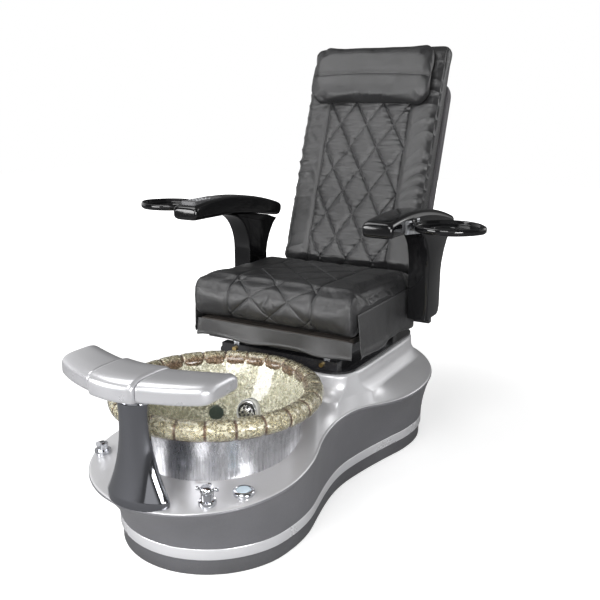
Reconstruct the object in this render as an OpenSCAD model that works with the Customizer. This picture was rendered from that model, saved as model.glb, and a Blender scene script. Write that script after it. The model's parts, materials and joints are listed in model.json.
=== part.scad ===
// Pedicure spa chair: a recliner on slide rails over a moulded foot-bath base.
// Origin on the floor, in the middle of the base. +X is the sitter's left,
// +Y is the back of the chair, +Z is up. Millimetres.

/* [Base] */
// Radius of the round front of the kick plinth
plinth_front_r = 256; // [250:1:262]
// Radius of the round rear of the kick plinth
plinth_rear_r = 284; // [278:1:290]
// Half width of the plinth at its waist
plinth_waist = 213; // [209:1:217]
// Height of the kick plinth
plinth_h = 45; // [38:1:52]
// Height of the bright band on the plinth
band_h = 33; // [26:1:40]
// Radius of the round front of the deck
deck_front_r = 315; // [308:1:322]
// Radius of the round rear of the deck
deck_rear_r = 372; // [364:1:380]
// Half width of the deck at its waist
deck_waist = 243; // [238:1:248]
// Height of the deck's edge at its front end
deck_front_z = 222; // [218:1:226]
// Height of the top of the seat pedestal
pedestal_z = 380; // [376:1:386]
// Wall thickness of the moulded tub body
tub_wall = 7; // [5:0.5:8]

/* [Foot bath] */
// Distance of the bowl's centre in front of the origin
bowl_front = 335; // [333:1:337]
// Radius of the bright skirt round the bowl
skirt_r = 232; // [230:1:234]
// Height of the middle of the bowl's rolled rim
rim_z = 403; // [400:1:408]
// Thickness of the rolled rim
rim_tube_r = 28.5; // [27:0.5:30]
// Height of the bowl's floor
bowl_floor_z = 170; // [164:1:176]
// Radius of the water jet's collar
jet_collar_r = 37; // [34:1:39]

/* [Footrest] */
// Distance from the rolled rim to the footrest column's axis
column_gap = 39; // [37:1:43]
// Height of the top of the chrome column
column_top_z = 488; // [480:1:492]
// Half span of the footrest from end to end
footrest_half = 246; // [236:1:254]
// Front to back size of the footrest in the middle
footrest_depth = 138; // [130:1:142]
// Thickness of the footrest
footrest_h = 54; // [50:1:58]
// Diameter of the footrest's sliding post
post_d = 38; // [36:1:40]

/* [Seat] */
// Half width of the seat cushion
seat_half = 285; // [280:1:287]
// Height of the underside of the seat cushion
seat_z = 501; // [500:1:504]
// Thickness of the seat cushion
seat_h = 140; // [134:1:144]
// Distance of the cushion's nose in front of the origin
seat_nose = 74; // [70:1:78]

/* [Back] */
// Lean of the back from upright at rest
back_lean = 19; // [17:1:21]
// Length of the back cushion
back_len = 822; // [812:1:832]
// How much narrower than the seat the back is on each side
back_inset = 17; // [13:1:23]
// Thickness of the back cushion
back_cushion_h = 76; // [72:1:78]

/* [Arms] */
// Gap between the seat cushion and an arm post
arm_gap = 9; // [7:1:12]
// Width of an arm post
post_w = 58; // [54:1:60]
// Width of an armrest pad
pad_w = 94; // [92:1:98]
// Half length of a tray, hinge to tip
tray_half = 104; // [100:1:106]

/* [Hidden] */
$fn = 64;

silver = [0.68, 0.67, 0.70];
dark_silver = [0.35, 0.35, 0.37];
chrome = [0.80, 0.81, 0.83];
black = [0.06, 0.06, 0.07];
charcoal = [0.24, 0.24, 0.25];
steel = [0.45, 0.46, 0.48];

// Clearances
fit_gap = 0.3;    // between pieces that are set beside one another
run_gap = 0.05;   // round a shaft that turns or slides
arc_n = 20;       // points on each of the four arcs of a base outline

// Places that several pieces share
plinth_front_y = -350;
plinth_rear_y = 430;
deck_rear_y = 285;
pedestal_y = 252;
pedestal_hx = 254;
pedestal_hy = 290;
bowl_y = -bowl_front;
rim_r = skirt_r + 37.5;
column_y = bowl_y - rim_r - rim_tube_r - column_gap;
deck_front_y = column_y - 63 + deck_front_r;
deck_slope = (280 - deck_front_z) / 1015;
pan_top = 8;
band_top = plinth_h + band_h;
jet_x = -20;
jet_z = 262;
light_turn = 38;
valve_at = [168, column_y + 57];
button_at = [221, column_y + 136];
button_z = 247;
diverter_at = [-243, column_y + 132];
column_foot_z = 217;
plate_h = 6;
frame_z = pedestal_z + plate_h;
rail_z = frame_z + 30;
seat_frame_z = rail_z + 24;
board_z = seat_z - 18;
post_inner_x = seat_half + arm_gap;
back_top = 72 + back_len;
back_half = seat_half - back_inset;
shell_top = back_top - 120;
flap_x = seat_half - 22;
rail_x = flap_x - 23;
ear_x = rail_x - 12;
recline_y = 440;
recline_z = 520;
arm_pivot_y = 470;
arm_pivot_z = 782;
arm_seat_z = 492;
pad_inner_x = post_inner_x - 8;
pad_outer_x = pad_inner_x + pad_w;
tray_axis_x = pad_outer_x + 7.5;
tray_axis_z = 840;
tray_h = 20;
tray_y = 96;
remote_x = -(pad_inner_x + pad_w / 2);
remote_y = 62;
remote_z = 842;
actuator_lever = 62;
actuator_y = 90;
actuator_z = 462;
light_z = jet_z - 6;
guide_y = plinth_front_y - plinth_front_r + 16;

// ---------- outlines and lofts ----------

// Height of the waist's narrowest point on an outline of two circles joined by hollow arcs
function waist_y(rf, yf, rr, yr, w) =
    let (p = rf - w, q = rr - w, a = q - p, b = -2 * (q * yf - p * yr),
         c = q * yf * yf - p * yr * yr - q * p * p + p * q * q)
    abs(a) < 0.001 ? -c / b : (-b + sqrt(b * b - 4 * a * c)) / (2 * a);

function arc(cx, cy, r, from, to, n) =
    [for (i = [0 : n - 1]) let (t = from + (to - from) * i / n) [cx + r * cos(t), cy + r * sin(t)]];

// Outline of a base: round front, hollow waist, round rear, point by point
function base_outline(rf, yf, rr, yr, w) =
    let (u = waist_y(rf, yf, rr, yr, w), p = rf - w,
         cx = ((u - yf) * (u - yf) - p * p) / (2 * p), rw = cx - w,
         a1 = atan2(u - yf, w + rw), a2 = atan2(yr - u, w + rw), cw = w + rw)
    concat(arc(0, yf, rf, 180 - a1, 360 + a1, arc_n),
           arc(cw, u, rw, 180 + a1, 180 - a2, arc_n),
           arc(0, yr, rr, -a2, 180 + a2, arc_n),
           arc(-cw, u, rw, a2, -a1, arc_n));

function plinth_outline(grow) =
    base_outline(plinth_front_r + grow, plinth_front_y, plinth_rear_r + grow, plinth_rear_y,
                 plinth_waist + grow);

function mix(a, b, t) = a + (b - a) * t;

// Side of the tub between the band (s = 0) and the deck's edge (s = 1)
function tub_outline(s, t) =
    base_outline(mix(plinth_front_r + 6, deck_front_r, s) - t, mix(plinth_front_y, deck_front_y, s),
                 mix(plinth_rear_r + 6, deck_rear_r, s) - t, mix(plinth_rear_y, deck_rear_y, s),
                 mix(plinth_waist + 6, deck_waist, s) - t);

function edge_z(y) = deck_front_z + (y - deck_front_y + deck_front_r) * deck_slope;

// Point of the pedestal's rounded outline in the direction of a deck point
function pedestal_point(p, grow) =
    let (t = atan2(p[1] - pedestal_y, p[0]), hx = pedestal_hx + grow, hy = pedestal_hy + grow,
         r = pow(pow(abs(cos(t)) / hx, 6) + pow(abs(sin(t)) / hy, 6), -1 / 6))
    [r * cos(t), pedestal_y + r * sin(t)];

function side_ring(s, t) =
    [for (p = tub_outline(pow(s, 1.5), t)) [p[0], p[1], mix(band_top, edge_z(p[1]) - 8, s)]];

function deck_ring(u, t) =
    let (edge = tub_outline(1, t + 7 * (1 - pow(1 - u, 6))))
    [for (p = edge) let (q = pedestal_point(p, 26 - t), v = pow(u, 1.1))
        [mix(p[0], q[0], u), mix(p[1], q[1], u), mix(edge_z(p[1]), 304, v) - t]];

function wall_ring(grow, z, t) =
    [for (p = tub_outline(1, t)) let (q = pedestal_point(p, grow - t)) [q[0], q[1], z]];

// Skin over a stack of rings, each with the same number of points
module loft(rings) {
    n = len(rings[0]);
    m = len(rings);
    polyhedron(
        points = [for (ring = rings) for (p = ring) p],
        faces = concat(
            [[for (i = [0 : n - 1]) i]],
            [for (k = [0 : m - 2]) for (i = [0 : n - 1])
                [k * n + i, (k + 1) * n + i, (k + 1) * n + (i + 1) % n]],
            [for (k = [0 : m - 2]) for (i = [0 : n - 1])
                [k * n + i, (k + 1) * n + (i + 1) % n, k * n + (i + 1) % n]],
            [[for (i = [0 : n - 1]) m * n - 1 - i]]));
}

// The tub's outer form (t = 0), or its hollow (t = wall)
module tub_form(t) {
    loft(concat(
        t > 0 ? [[for (p = tub_outline(0, t)) [p[0], p[1], band_top - 9]]] : [],
        [for (s = [0 : 0.2 : 1]) side_ring(s, t)],
        [for (u = [0.01, 0.05, 0.2, 0.4, 0.6, 0.8, 1]) deck_ring(u, t)],
        [wall_ring(13, 318 - t, t), wall_ring(5, 338 - t, t), wall_ring(1, pedestal_z - 12 - t, t),
         wall_ring(-5, pedestal_z - t, t)]));
}

module ring(r_out, r_in, h) {
    difference() {
        cylinder(r = r_out, h = h);
        translate([0, 0, -1]) cylinder(r = r_in, h = h + 2);
    }
}

module block(x0, x1, y0, y1, z0, z1) {
    translate([x0, y0, z0]) cube([x1 - x0, y1 - y0, z1 - z0]);
}

// A side profile in Y and Z, given its thickness along X
module side_profile(x0, x1) {
    translate([x0, 0, 0]) rotate([90, 0, 90]) linear_extrude(x1 - x0) children();
}

// Cylinder lying along X or along Y
module rod_x(x0, x1, y, z, r) {
    translate([x0, y, z]) rotate([0, 90, 0]) cylinder(r = r, h = x1 - x0);
}

module rod_y(x, y0, y1, z, r) {
    translate([x, y0, z]) rotate([-90, 0, 0]) cylinder(r = r, h = y1 - y0);
}

// Rectangle with round corners
module soft_rect(w, h, r) {
    square([w - 2 * r, h], center = true);
    square([w, h - 2 * r], center = true);
    for (x = [-1, 1]) for (y = [-1, 1])
        translate([x * (w / 2 - r), y * (h / 2 - r)]) circle(r = r, $fn = 32);
}

module at_bowl() {
    translate([0, bowl_y, 0]) children();
}

// Frame of the back: its origin is the recline axis, its Z runs up the back
module in_back() {
    translate([0, recline_y, recline_z]) rotate([-back_lean, 0, 0]) children();
}

module both_sides() {
    children();
    mirror([1, 0, 0]) children();
}

// ---------- base ----------

module kick_plinth() {
    color(dark_silver) linear_extrude(plinth_h) difference() {
        polygon(plinth_outline(0));
        polygon(plinth_outline(-10));
    }
}

module base_pan() {
    color(steel) linear_extrude(pan_top) polygon(plinth_outline(-10 - fit_gap));
}

module bright_band() {
    color([0.86, 0.86, 0.88]) translate([0, 0, plinth_h]) linear_extrude(band_h) difference() {
        polygon(plinth_outline(6));
        polygon(plinth_outline(-8));
    }
}

module tub_body() {
    color(silver) difference() {
        tub_form(0);
        tub_form(tub_wall);
        at_bowl() translate([0, 0, 120]) cylinder(r = skirt_r + fit_gap, h = 400);
        translate([0, column_y, column_foot_z - fit_gap]) linear_extrude(200) column_foot(fit_gap);
        translate([valve_at[0], valve_at[1], 150]) cylinder(r = 12 + fit_gap, h = 200);
        translate([button_at[0], button_at[1], 150]) cylinder(r = 14 + fit_gap, h = 200);
        translate([diverter_at[0], diverter_at[1], 150]) cylinder(r = 18 + fit_gap, h = 200);
        rod_y(0, 600, 800, 130, 17 + fit_gap);
        block(-120, 120, 120, 420, pedestal_z - 40, pedestal_z + 1);
    }
}

// ---------- foot bath ----------

function bowl_r(z) = 130 + (rim_r - 23.5 - 130) * pow((z - bowl_floor_z) / (rim_z - bowl_floor_z), 0.75);

// Distance of the bath's wall from its middle at the jet and at the light
jet_wall = bowl_r(jet_z);
light_wall = bowl_r(light_z);

function skirt_at(z) = skirt_r + 26 * pow(max(0, (z - 296) / (rim_z - 296)), 1.6);

module bowl_skirt() {
    steps = [for (i = [0 : 10]) mix(296, rim_z, i / 10)];
    color(chrome) at_bowl() difference() {
        rotate_extrude($fn = 96) polygon(concat(
            [[skirt_r - 3, 205], [skirt_r, 205]],
            [for (z = steps) [skirt_at(z), z]],
            [for (i = [10 : -1 : 0]) [skirt_at(steps[i]) - 3, steps[i]]]));
        rod_y(jet_x, 150, 300, jet_z, 30 + fit_gap);
    }
}

module basin() {
    steps = [for (i = [0 : 12]) mix(bowl_floor_z, rim_z, pow(i / 12, 1.4))];
    color([0.78, 0.74, 0.55]) at_bowl() difference() {
        rotate_extrude($fn = 96) polygon(concat(
            [[0, bowl_floor_z - 8], [136, bowl_floor_z - 8]],
            [for (i = [1 : 12]) [bowl_r(steps[i]) + 6, steps[i]]],
            [for (i = [12 : -1 : 0]) [bowl_r(steps[i]), steps[i]]],
            [[0, bowl_floor_z]]));
        rod_y(jet_x, 100, 300, jet_z, jet_collar_r + fit_gap);
        rod_y(jet_x, 100, jet_wall - 20 + fit_gap, jet_z, jet_collar_r + 5 + fit_gap);
        rotate([0, 0, light_turn]) rod_y(0, 150, 300, light_z, 19 + fit_gap);
        rotate([0, 0, light_turn]) rod_y(0, 100, light_wall - 6 + fit_gap, light_z, 22 + fit_gap);
        translate([0, 0, 100]) cylinder(r = 26 + fit_gap, h = 100);
    }
}

module basin_rim() {
    color([0.72, 0.62, 0.42]) at_bowl() rotate_extrude($fn = 96) difference() {
        translate([rim_r, rim_z]) circle(r = rim_tube_r, $fn = 48);
        translate([rim_r - 40, rim_z - 60]) square([28.5 + fit_gap, 60 + fit_gap]);
    }
}

module drain_strainer() {
    color(chrome) at_bowl() difference() {
        union() {
            translate([0, 0, bowl_floor_z]) cylinder(r = 34, h = 3);
            translate([0, 0, bowl_floor_z - 22]) cylinder(r = 26, h = 22);
        }
        for (i = [0 : 7]) rotate([0, 0, i * 45]) translate([14, 0, bowl_floor_z - 30]) cylinder(r = 4, h = 50);
    }
}

module drain_pipe() {
    color(black) at_bowl() translate([0, 0, pan_top]) ring(22, 18, bowl_floor_z - 22 - pan_top);
}

module jet_collar() {
    color([0.92, 0.92, 0.93]) at_bowl() difference() {
        union() {
            rod_y(jet_x, jet_wall - 22, jet_wall + 8, jet_z, jet_collar_r);
            rod_y(jet_x, jet_wall - 28, jet_wall - 20, jet_z, jet_collar_r + 5);
        }
        rod_y(jet_x, 100, jet_wall + 10, jet_z, 30 + fit_gap);
    }
}

module jet_housing() {
    color(black) at_bowl() difference() {
        union() {
            rod_y(jet_x, jet_wall - 16, jet_wall + 34, jet_z, 30);
            rod_y(jet_x, jet_wall + 34, jet_wall + 70, jet_z - 6, 20);
        }
        rod_y(jet_x, jet_wall - 20, jet_wall + 27, jet_z, 26);
    }
}

module jet_cover() {
    color(chrome) at_bowl() difference() {
        rod_y(jet_x, jet_wall - 24, jet_wall - 16 - fit_gap, jet_z, 30);
        for (i = [0 : 7]) translate([jet_x, 150, jet_z]) rotate([-90, 0, 0])
            rotate([0, 0, i * 45]) translate([19, 0, 0]) cylinder(r = 4.5, h = 40);
        for (i = [0 : 3]) translate([jet_x, 150, jet_z]) rotate([-90, 0, 0])
            rotate([0, 0, i * 90 + 20]) translate([9, 0, 0]) cylinder(r = 3.5, h = 40);
    }
}

module jet_impeller() {
    color([0.85, 0.85, 0.86]) at_bowl() translate([jet_x, jet_wall - 12, jet_z]) rotate([-90, 0, 0]) {
        cylinder(r = 8, h = 39);
        for (i = [0 : 5]) rotate([0, 0, i * 60]) translate([0, -1.5, 0]) cube([24, 3, 18]);
    }
}

module basin_light() {
    color([0.75, 0.80, 0.82]) at_bowl() rotate([0, 0, light_turn]) {
        rod_y(0, light_wall - 7, light_wall + 20, light_z, 19);
        rod_y(0, light_wall - 11, light_wall - 6, light_z, 22);
    }
}

module valve_body() {
    color(chrome) translate([valve_at[0], valve_at[1], 0]) difference() {
        union() {
            translate([0, 0, 150]) cylinder(r = 12, h = 90);
            translate([0, 0, 238]) cylinder(r = 17, h = 6);
        }
        translate([0, 0, 200]) cylinder(r = 6 + run_gap, h = 60);
    }
}

module valve_handle() {
    color(chrome) translate([valve_at[0], valve_at[1], 0]) {
        translate([0, 0, 204]) cylinder(r = 6, h = 44);
        translate([0, 0, 244 + fit_gap]) cylinder(r = 12, h = 22);
        translate([0, 0, 260]) rotate([0, 90, 0]) translate([0, 0, -21]) cylinder(r = 4, h = 42);
    }
}

module button_bezel() {
    color(chrome) translate([button_at[0], button_at[1], 0]) {
        translate([0, 0, 195]) ring(14, 10 + run_gap, button_z - 195);
        translate([0, 0, button_z - 4]) ring(20, 10 + run_gap, 4);
        translate([0, 0, button_z]) ring(20, 13, 4);
    }
}

module air_button() {
    color([0.86, 0.91, 0.94]) translate([button_at[0], button_at[1], 0]) {
        translate([0, 0, 205]) cylinder(r = 10, h = button_z + 3 - 205);
        translate([0, 0, button_z + 3]) cylinder(r = 12.5, h = 4);
    }
}

module diverter_body() {
    color(chrome) translate([diverter_at[0], diverter_at[1], 0]) {
        translate([0, 0, 200]) ring(18, 8 + run_gap, 46);
        translate([0, 0, 241]) ring(22, 8 + run_gap, 5);
    }
}

module diverter_lever() {
    color(chrome) translate([diverter_at[0], diverter_at[1], 0]) {
        translate([0, 0, 208]) cylinder(r = 8, h = 52);
        translate([0, 0, 246 + fit_gap]) cylinder(r = 15, h = 18);
        translate([0, 0, 264]) rotate([70, 0, 25]) translate([0, 0, -6]) cylinder(r = 7, h = 40);
    }
}

// ---------- footrest ----------

// Half sizes of the column's oval section, t from 0 at its foot to 1 at its top
function column_hx(t) = 38 + 47 * pow(1 - t, 2.6) + 5 * pow(t, 4);

function column_hy(t) = 27 + 24 * pow(1 - t, 2.6) + 5 * pow(t, 4);

module column_foot(grow) {
    polygon([for (i = [0 : 47]) [(column_hx(0) + grow) * cos(i * 7.5), (column_hy(0) + grow) * sin(i * 7.5)]]);
}

module footrest_column() {
    deck_z = 240;
    color(chrome) translate([0, column_y, 0]) difference() {
        union() {
            translate([0, 0, column_foot_z]) linear_extrude(deck_z - column_foot_z) column_foot(0);
            loft([for (k = [0 : 14]) let (t = k / 14)
                [for (i = [0 : 47]) [column_hx(t) * cos(i * 7.5), column_hy(t) * sin(i * 7.5),
                                     mix(deck_z - 0.01, column_top_z, t)]]]);
        }
        translate([0, 0, column_foot_z - 1]) cylinder(d = post_d + 2 * run_gap, h = 400);
    }
}

// Steel bracket under the deck that carries the column down to the base pan
module footrest_guide() {
    color(steel) {
        block(-60, 60, column_y - 26, guide_y + 13, column_foot_z - 10, column_foot_z);
        block(-45, 45, guide_y, guide_y + 13, pan_top, column_foot_z - 5);
    }
}

module footrest_post() {
    color(chrome) translate([0, column_y, column_foot_z + 5]) cylinder(d = post_d, h = 505 - column_foot_z - 5);
}

module footrest_bracket() {
    color(steel) translate([0, column_y - 8, 505]) linear_extrude(6) soft_rect(170, 84, 16);
}

// Middle of the footrest's section at a distance x from its centre line
function footrest_y(x) = column_y - 12 + 78 * pow(abs(x) / footrest_half, 1.7);

module footrest_part(x0, x1) {
    n = 28;
    hz = footrest_h / 2;
    color(silver) rotate([90, 0, 90]) translate([0, 0, 0]) loft(
        [for (k = [0 : 10]) let (x = mix(x0, x1, k / 10), e = pow(abs(x) / footrest_half, 6),
                                hy = footrest_depth / 2 * (1 - 0.13 * e), h = hz * (1 - 0.12 * e))
            [for (i = [0 : n - 1]) let (a = i * 360 / n)
                [footrest_y(x) + hy * sign(cos(a)) * pow(abs(cos(a)), 0.55),
                 511 + fit_gap + hz + h * sign(sin(a)) * pow(abs(sin(a)), 0.6), x]]]);
}

module footrest_centre() {
    footrest_part(-68, 68);
}

module footrest_wing_left() {
    footrest_part(68 + fit_gap, footrest_half);
}

module footrest_wing_right() {
    footrest_part(-footrest_half, -68 - fit_gap);
}

// ---------- slide and inner units ----------

module seat_plate() {
    color(black) translate([0, pedestal_y, pedestal_z]) linear_extrude(plate_h)
        soft_rect(2 * pedestal_hx - 22, 2 * pedestal_hy - 22, 70);
}

module slide_frame() {
    tube = 30;
    color(black) difference() {
        union() {
            both_sides() block(150, 150 + tube, 12, 430, frame_z, rail_z);
            block(-209, 209, -18, 12, frame_z, rail_z);
            block(-209, 209, 400, 430, frame_z, rail_z);
        }
        both_sides() rod_y(158, -30, 5, frame_z + 16, 4);
    }
}

module frame_bolts() {
    color([0.80, 0.62, 0.32]) both_sides() {
        rod_y(158, -18, 4, frame_z + 16, 4);
        translate([158, -18, frame_z + 16]) rotate([90, 30, 0]) cylinder(r = 8, h = 7, $fn = 6);
    }
}

module fixed_rails() {
    color(steel) both_sides() difference() {
        block(155, 175, 0, 430, rail_z, rail_z + 15);
        block(160.4, 169.6, -1, 431, rail_z + 4, rail_z + 16);
    }
}

module moving_rails() {
    color(chrome) both_sides() {
        block(160.5, 169.5, 40, 400, rail_z + 4.2, rail_z + 16);
        block(150, 180, 40, 400, rail_z + 16, rail_z + 24);
    }
}

module discharge_pump() {
    color(black) {
        block(70, 190, -60, 60, pan_top, pan_top + 8);
        translate([130, 0, pan_top + 8]) cylinder(r = 45, h = 70);
        rod_x(60, 130, 0, pan_top + 30, 12);
    }
}

module control_box() {
    color([0.85, 0.85, 0.82]) block(-200, -60, 150, 330, pan_top, pan_top + 70);
}

module power_inlet() {
    color(black) {
        rod_y(0, 640, 722, 130, 17);
        rod_y(0, 722, 727, 130, 24);
    }
}

// ---------- seat ----------

module seat_frame() {
    color(black) difference() {
        union() {
            both_sides() block(150, 180, -20, 430, seat_frame_z, board_z);
            block(-rail_x, rail_x, -45, -20, seat_frame_z, board_z);
            block(-rail_x, rail_x, 385, 409, seat_frame_z, board_z);
            both_sides() block(rail_x - 25, rail_x, -20, 385, seat_frame_z, board_z);
            both_sides() block(rail_x, post_inner_x + post_w - 8, 378, 400, 458, 470);
            both_sides() block(post_inner_x + 6, post_inner_x + post_w - 8, 378, 400, 470, arm_seat_z);
            both_sides() block(ear_x, ear_x + 10, 400, recline_y + 30, 456, recline_z + 25);
            block(-150, 150, 65, actuator_y, seat_frame_z, board_z);
        }
        rod_x(-300, 300, recline_y, recline_z, 8);
        rod_y(0, 380, 415, actuator_z, 10);
        block(-rail_x, rail_x, -50, 411, board_z, recline_z + 40);
    }
}

module seat_board() {
    color([0.70, 0.55, 0.38]) block(-flap_x + fit_gap, flap_x - fit_gap, -50, 376, board_z, seat_z);
}

// Seat profile: flat underside, round nose, gently falling top
module seat_cushion() {
    r = seat_h / 2 - 8;
    top = seat_z + seat_h;
    color(charcoal) side_profile(-seat_half, seat_half) polygon(concat(
        [for (i = [0 : 8]) let (a = 270 - i * 22.5)
            [-seat_nose + 52 + 52 * sign(cos(a)) * pow(abs(cos(a)), 0.8),
             seat_z + fit_gap + seat_h / 2 + (seat_h / 2 - fit_gap) * sign(sin(a)) * pow(abs(sin(a)), 0.8)]],
        [[120, top - 3], [300, top - 10], [380, top - 16], [402, top - 34], [408, seat_z + 50],
         [400, seat_z + fit_gap]]));
}

module front_flap() {
    color(charcoal) block(9 - seat_half, seat_half - 9, -50 - fit_gap - 3, -50 - fit_gap, 444, seat_z - 2);
}

module side_flap() {
    color(charcoal) side_profile(seat_half + fit_gap, seat_half + fit_gap + 2.4)
        polygon([[-44, 445], [374, 449], [374, seat_z + 72], [-44, seat_z + 80]]);
}

module side_flap_left() {
    side_flap();
}

module side_flap_right() {
    mirror([1, 0, 0]) side_flap();
}

module recline_pins() {
    color(chrome) both_sides() rod_x(ear_x - 20, ear_x + 18, recline_y, recline_z, 8);
}

module actuator_body() {
    color(steel) difference() {
        union() {
            block(-30, 30, actuator_y, 200, actuator_z - 16, actuator_z + 16);
            rod_y(0, 200, 330, actuator_z, 15);
        }
        rod_y(0, 202, 331, actuator_z, 9 + run_gap);
    }
}

module actuator_rod() {
    color(chrome) rod_y(0, 252, 453, actuator_z, 9);
}

// ---------- back ----------

// Gives a piece of the back round corners as seen from the front
module front_corners(half, low, high, r) {
    intersection() {
        children();
        translate([0, 100, (low + high) / 2]) rotate([90, 0, 0]) linear_extrude(250)
            soft_rect(2 * half, high - low, r);
    }
}

module back_frame() {
    h = back_cushion_h / 2;
    bar_x = back_half - 54;
    color(black) in_back() difference() {
        union() {
            both_sides() block(ear_x - 14, ear_x - 2, -20, h + 22, -20, 62);
            both_sides() block(bar_x, bar_x + 26, h + fit_gap, h + 42 - fit_gap, 60, shell_top - 14);
            block(-bar_x, bar_x, h + fit_gap, h + 42 - fit_gap, 60, 90);
            block(-bar_x, bar_x, h + fit_gap, h + 42 - fit_gap, shell_top - 44, shell_top - 14);
            both_sides() block(40, 52, 66, h + 42 - fit_gap, 90, shell_top - 44);
            block(-8, 8, h + fit_gap, h + 12, 6 - actuator_lever, 62);
        }
        rod_x(-300, 300, 0, 0, 8 + run_gap);
    }
}

module back_cushion() {
    h = back_cushion_h / 2;
    color(charcoal) in_back() front_corners(back_half, 60, back_top, 30)
        side_profile(-back_half, back_half) polygon(concat(
        [[h, 72], [-h + 20, 72], [-h + 4, 80], [-h, 100]],
        [for (i = [0 : 8]) let (a = 180 - i * 11.25) [h * 0.3 + h * 1.3 * cos(a), 72 + back_len - 46 + 46 * sin(a)]],
        [[h, 72 + back_len - 12]]));
}

module back_shell() {
    h = back_cushion_h / 2;
    w = back_half - 12;
    color([0.16, 0.16, 0.17]) in_back() difference() {
        translate([0, h + 46, (shell_top + 30) / 2]) rotate([90, 0, 0]) linear_extrude(46 - fit_gap)
            soft_rect(2 * w, shell_top - 30, 40);
        translate([0, h + 42, (shell_top + 30) / 2]) rotate([90, 0, 0]) linear_extrude(50)
            soft_rect(2 * w - 8, shell_top - 38, 36);
        block(-ear_x, ear_x, h - 8, h + 22 + fit_gap, 20, 40);
    }
}

module head_pillow() {
    h = back_cushion_h / 2;
    t = back_top;
    color(charcoal) in_back() front_corners(back_half - 34, t - 194, t - 16, 52)
        side_profile(34 - back_half, back_half - 34) polygon(
        [[-h - fit_gap, t - 192], [-h - fit_gap, t - 28], [-h - 6, t - 16], [-h - 20, t - 22],
         [-h - 38, t - 52], [-h - 47, t - 94], [-h - 50, t - 144], [-h - 45, t - 174],
         [-h - 28, t - 190], [-h - 10, t - 194]]);
}

module massage_carriage() {
    color(steel) in_back() difference() {
        block(-40 + fit_gap, 40 - fit_gap, 66, 78, 330, 410);
        block(-20, 20, 60, 79, 350, 390);
    }
    color(steel) in_back() both_sides() difference() {
        block(22, 28, 44, 66, 356, 384);
        rod_x(10, 40, 54, 370, 4 + run_gap);
    }
}

module massage_rollers() {
    color([0.75, 0.72, 0.66]) in_back() {
        rod_x(-60, 60, 54, 370, 4);
        both_sides() rod_x(32, 58, 54, 370, 11);
    }
}

// ---------- arms ----------

// Side view of an arm post: straight leg, arched into the underside of the pad
module post_outline() {
    polygon(concat(
        [[290, arm_seat_z], [290, 640]],
        [for (i = [0 : 8]) let (a = i * 10) [172 + 118 * cos(a), 662 + 134 * sin(a)]],
        [[190, 799], [arm_pivot_y + 4, 759], [425, 700], [402, 640], [400, 520], [392, 500],
         [378, arm_seat_z]]));
}

module arm_post() {
    color(black) difference() {
        union() {
            side_profile(post_inner_x, post_inner_x + post_w) post_outline();
            rod_x(post_inner_x + 21, post_inner_x + 37, arm_pivot_y, arm_pivot_z, 24);
        }
        difference() {
            rod_x(post_inner_x - 1, post_inner_x + post_w + 1, arm_pivot_y, arm_pivot_z, 26.5);
            rod_x(post_inner_x + 21, post_inner_x + 37, arm_pivot_y, arm_pivot_z, 40);
        }
        rod_x(post_inner_x - 1, post_inner_x + post_w + 1, arm_pivot_y, arm_pivot_z, 5 + run_gap);
    }
}

module arm_post_left() {
    arm_post();
}

module arm_post_right() {
    mirror([1, 0, 0]) arm_post();
}

// Side view of an armrest: gently crowned top, falling to its hinge
module pad_outline() {
    difference() {
        polygon(concat([[190, 799.3], [-28, 803], [-32, 812], [-32, 838], [-26, 846]],
            [for (i = [0 : 10]) let (y = mix(0, 478, i / 10)) [y, 852 + 0.13 * y - 0.00046 * y * y]],
            [[arm_pivot_y + 20, 795], [arm_pivot_y, 760]]));
    }
    translate([arm_pivot_y, arm_pivot_z]) circle(r = 26);
}

module arm_pad() {
    color(black) difference() {
        side_profile(pad_inner_x, pad_outer_x) pad_outline();
        rod_x(post_inner_x + 21 - fit_gap, post_inner_x + 37 + fit_gap, arm_pivot_y, arm_pivot_z, 27);
        rod_x(pad_inner_x + 12, pad_outer_x - 12, arm_pivot_y, arm_pivot_z, 4.9);
    }
    color(black) rod_x(post_inner_x + 12, post_inner_x + 46, arm_pivot_y, arm_pivot_z, 5);
}

module arm_left() {
    arm_pad();
}

module arm_right() {
    difference() {
        mirror([1, 0, 0]) arm_pad();
        translate([remote_x, remote_y, remote_z]) linear_extrude(60) soft_rect(58, 152, 8);
    }
}

function tray_point(a, inset) =
    [(tray_half - inset) * cos(a) + tray_axis_x + tray_half + 6,
     tray_y + (92 - inset) * sin(a) * (1 - 0.3 * pow(max(0, cos(a)), 3))];

module tray_outline(inset) {
    polygon([for (i = [0 : 63]) tray_point(i * 5.625, inset)]);
}

module tray() {
    cup_x = tray_axis_x + tray_half - 4;
    color(black) difference() {
        union() {
            translate([0, 0, tray_axis_z - 1 - tray_h]) linear_extrude(tray_h) tray_outline(0);
            rod_y(tray_axis_x, tray_y - 19, tray_y + 19, tray_axis_z, 6);
            block(tray_axis_x, tray_axis_x + 16, tray_y - 19, tray_y + 19, tray_axis_z - 6, tray_axis_z - 1);
        }
        translate([0, 0, tray_axis_z + 7 - tray_h]) linear_extrude(20) tray_outline(9);
        translate([cup_x, tray_y, tray_axis_z + 2 - tray_h]) cylinder(r = 37, h = 60);
        rod_y(tray_axis_x, tray_y - 60, tray_y + 60, tray_axis_z, 3 + run_gap);
    }
}

module tray_left() {
    tray();
}

module tray_right() {
    mirror([1, 0, 0]) tray();
}

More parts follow.
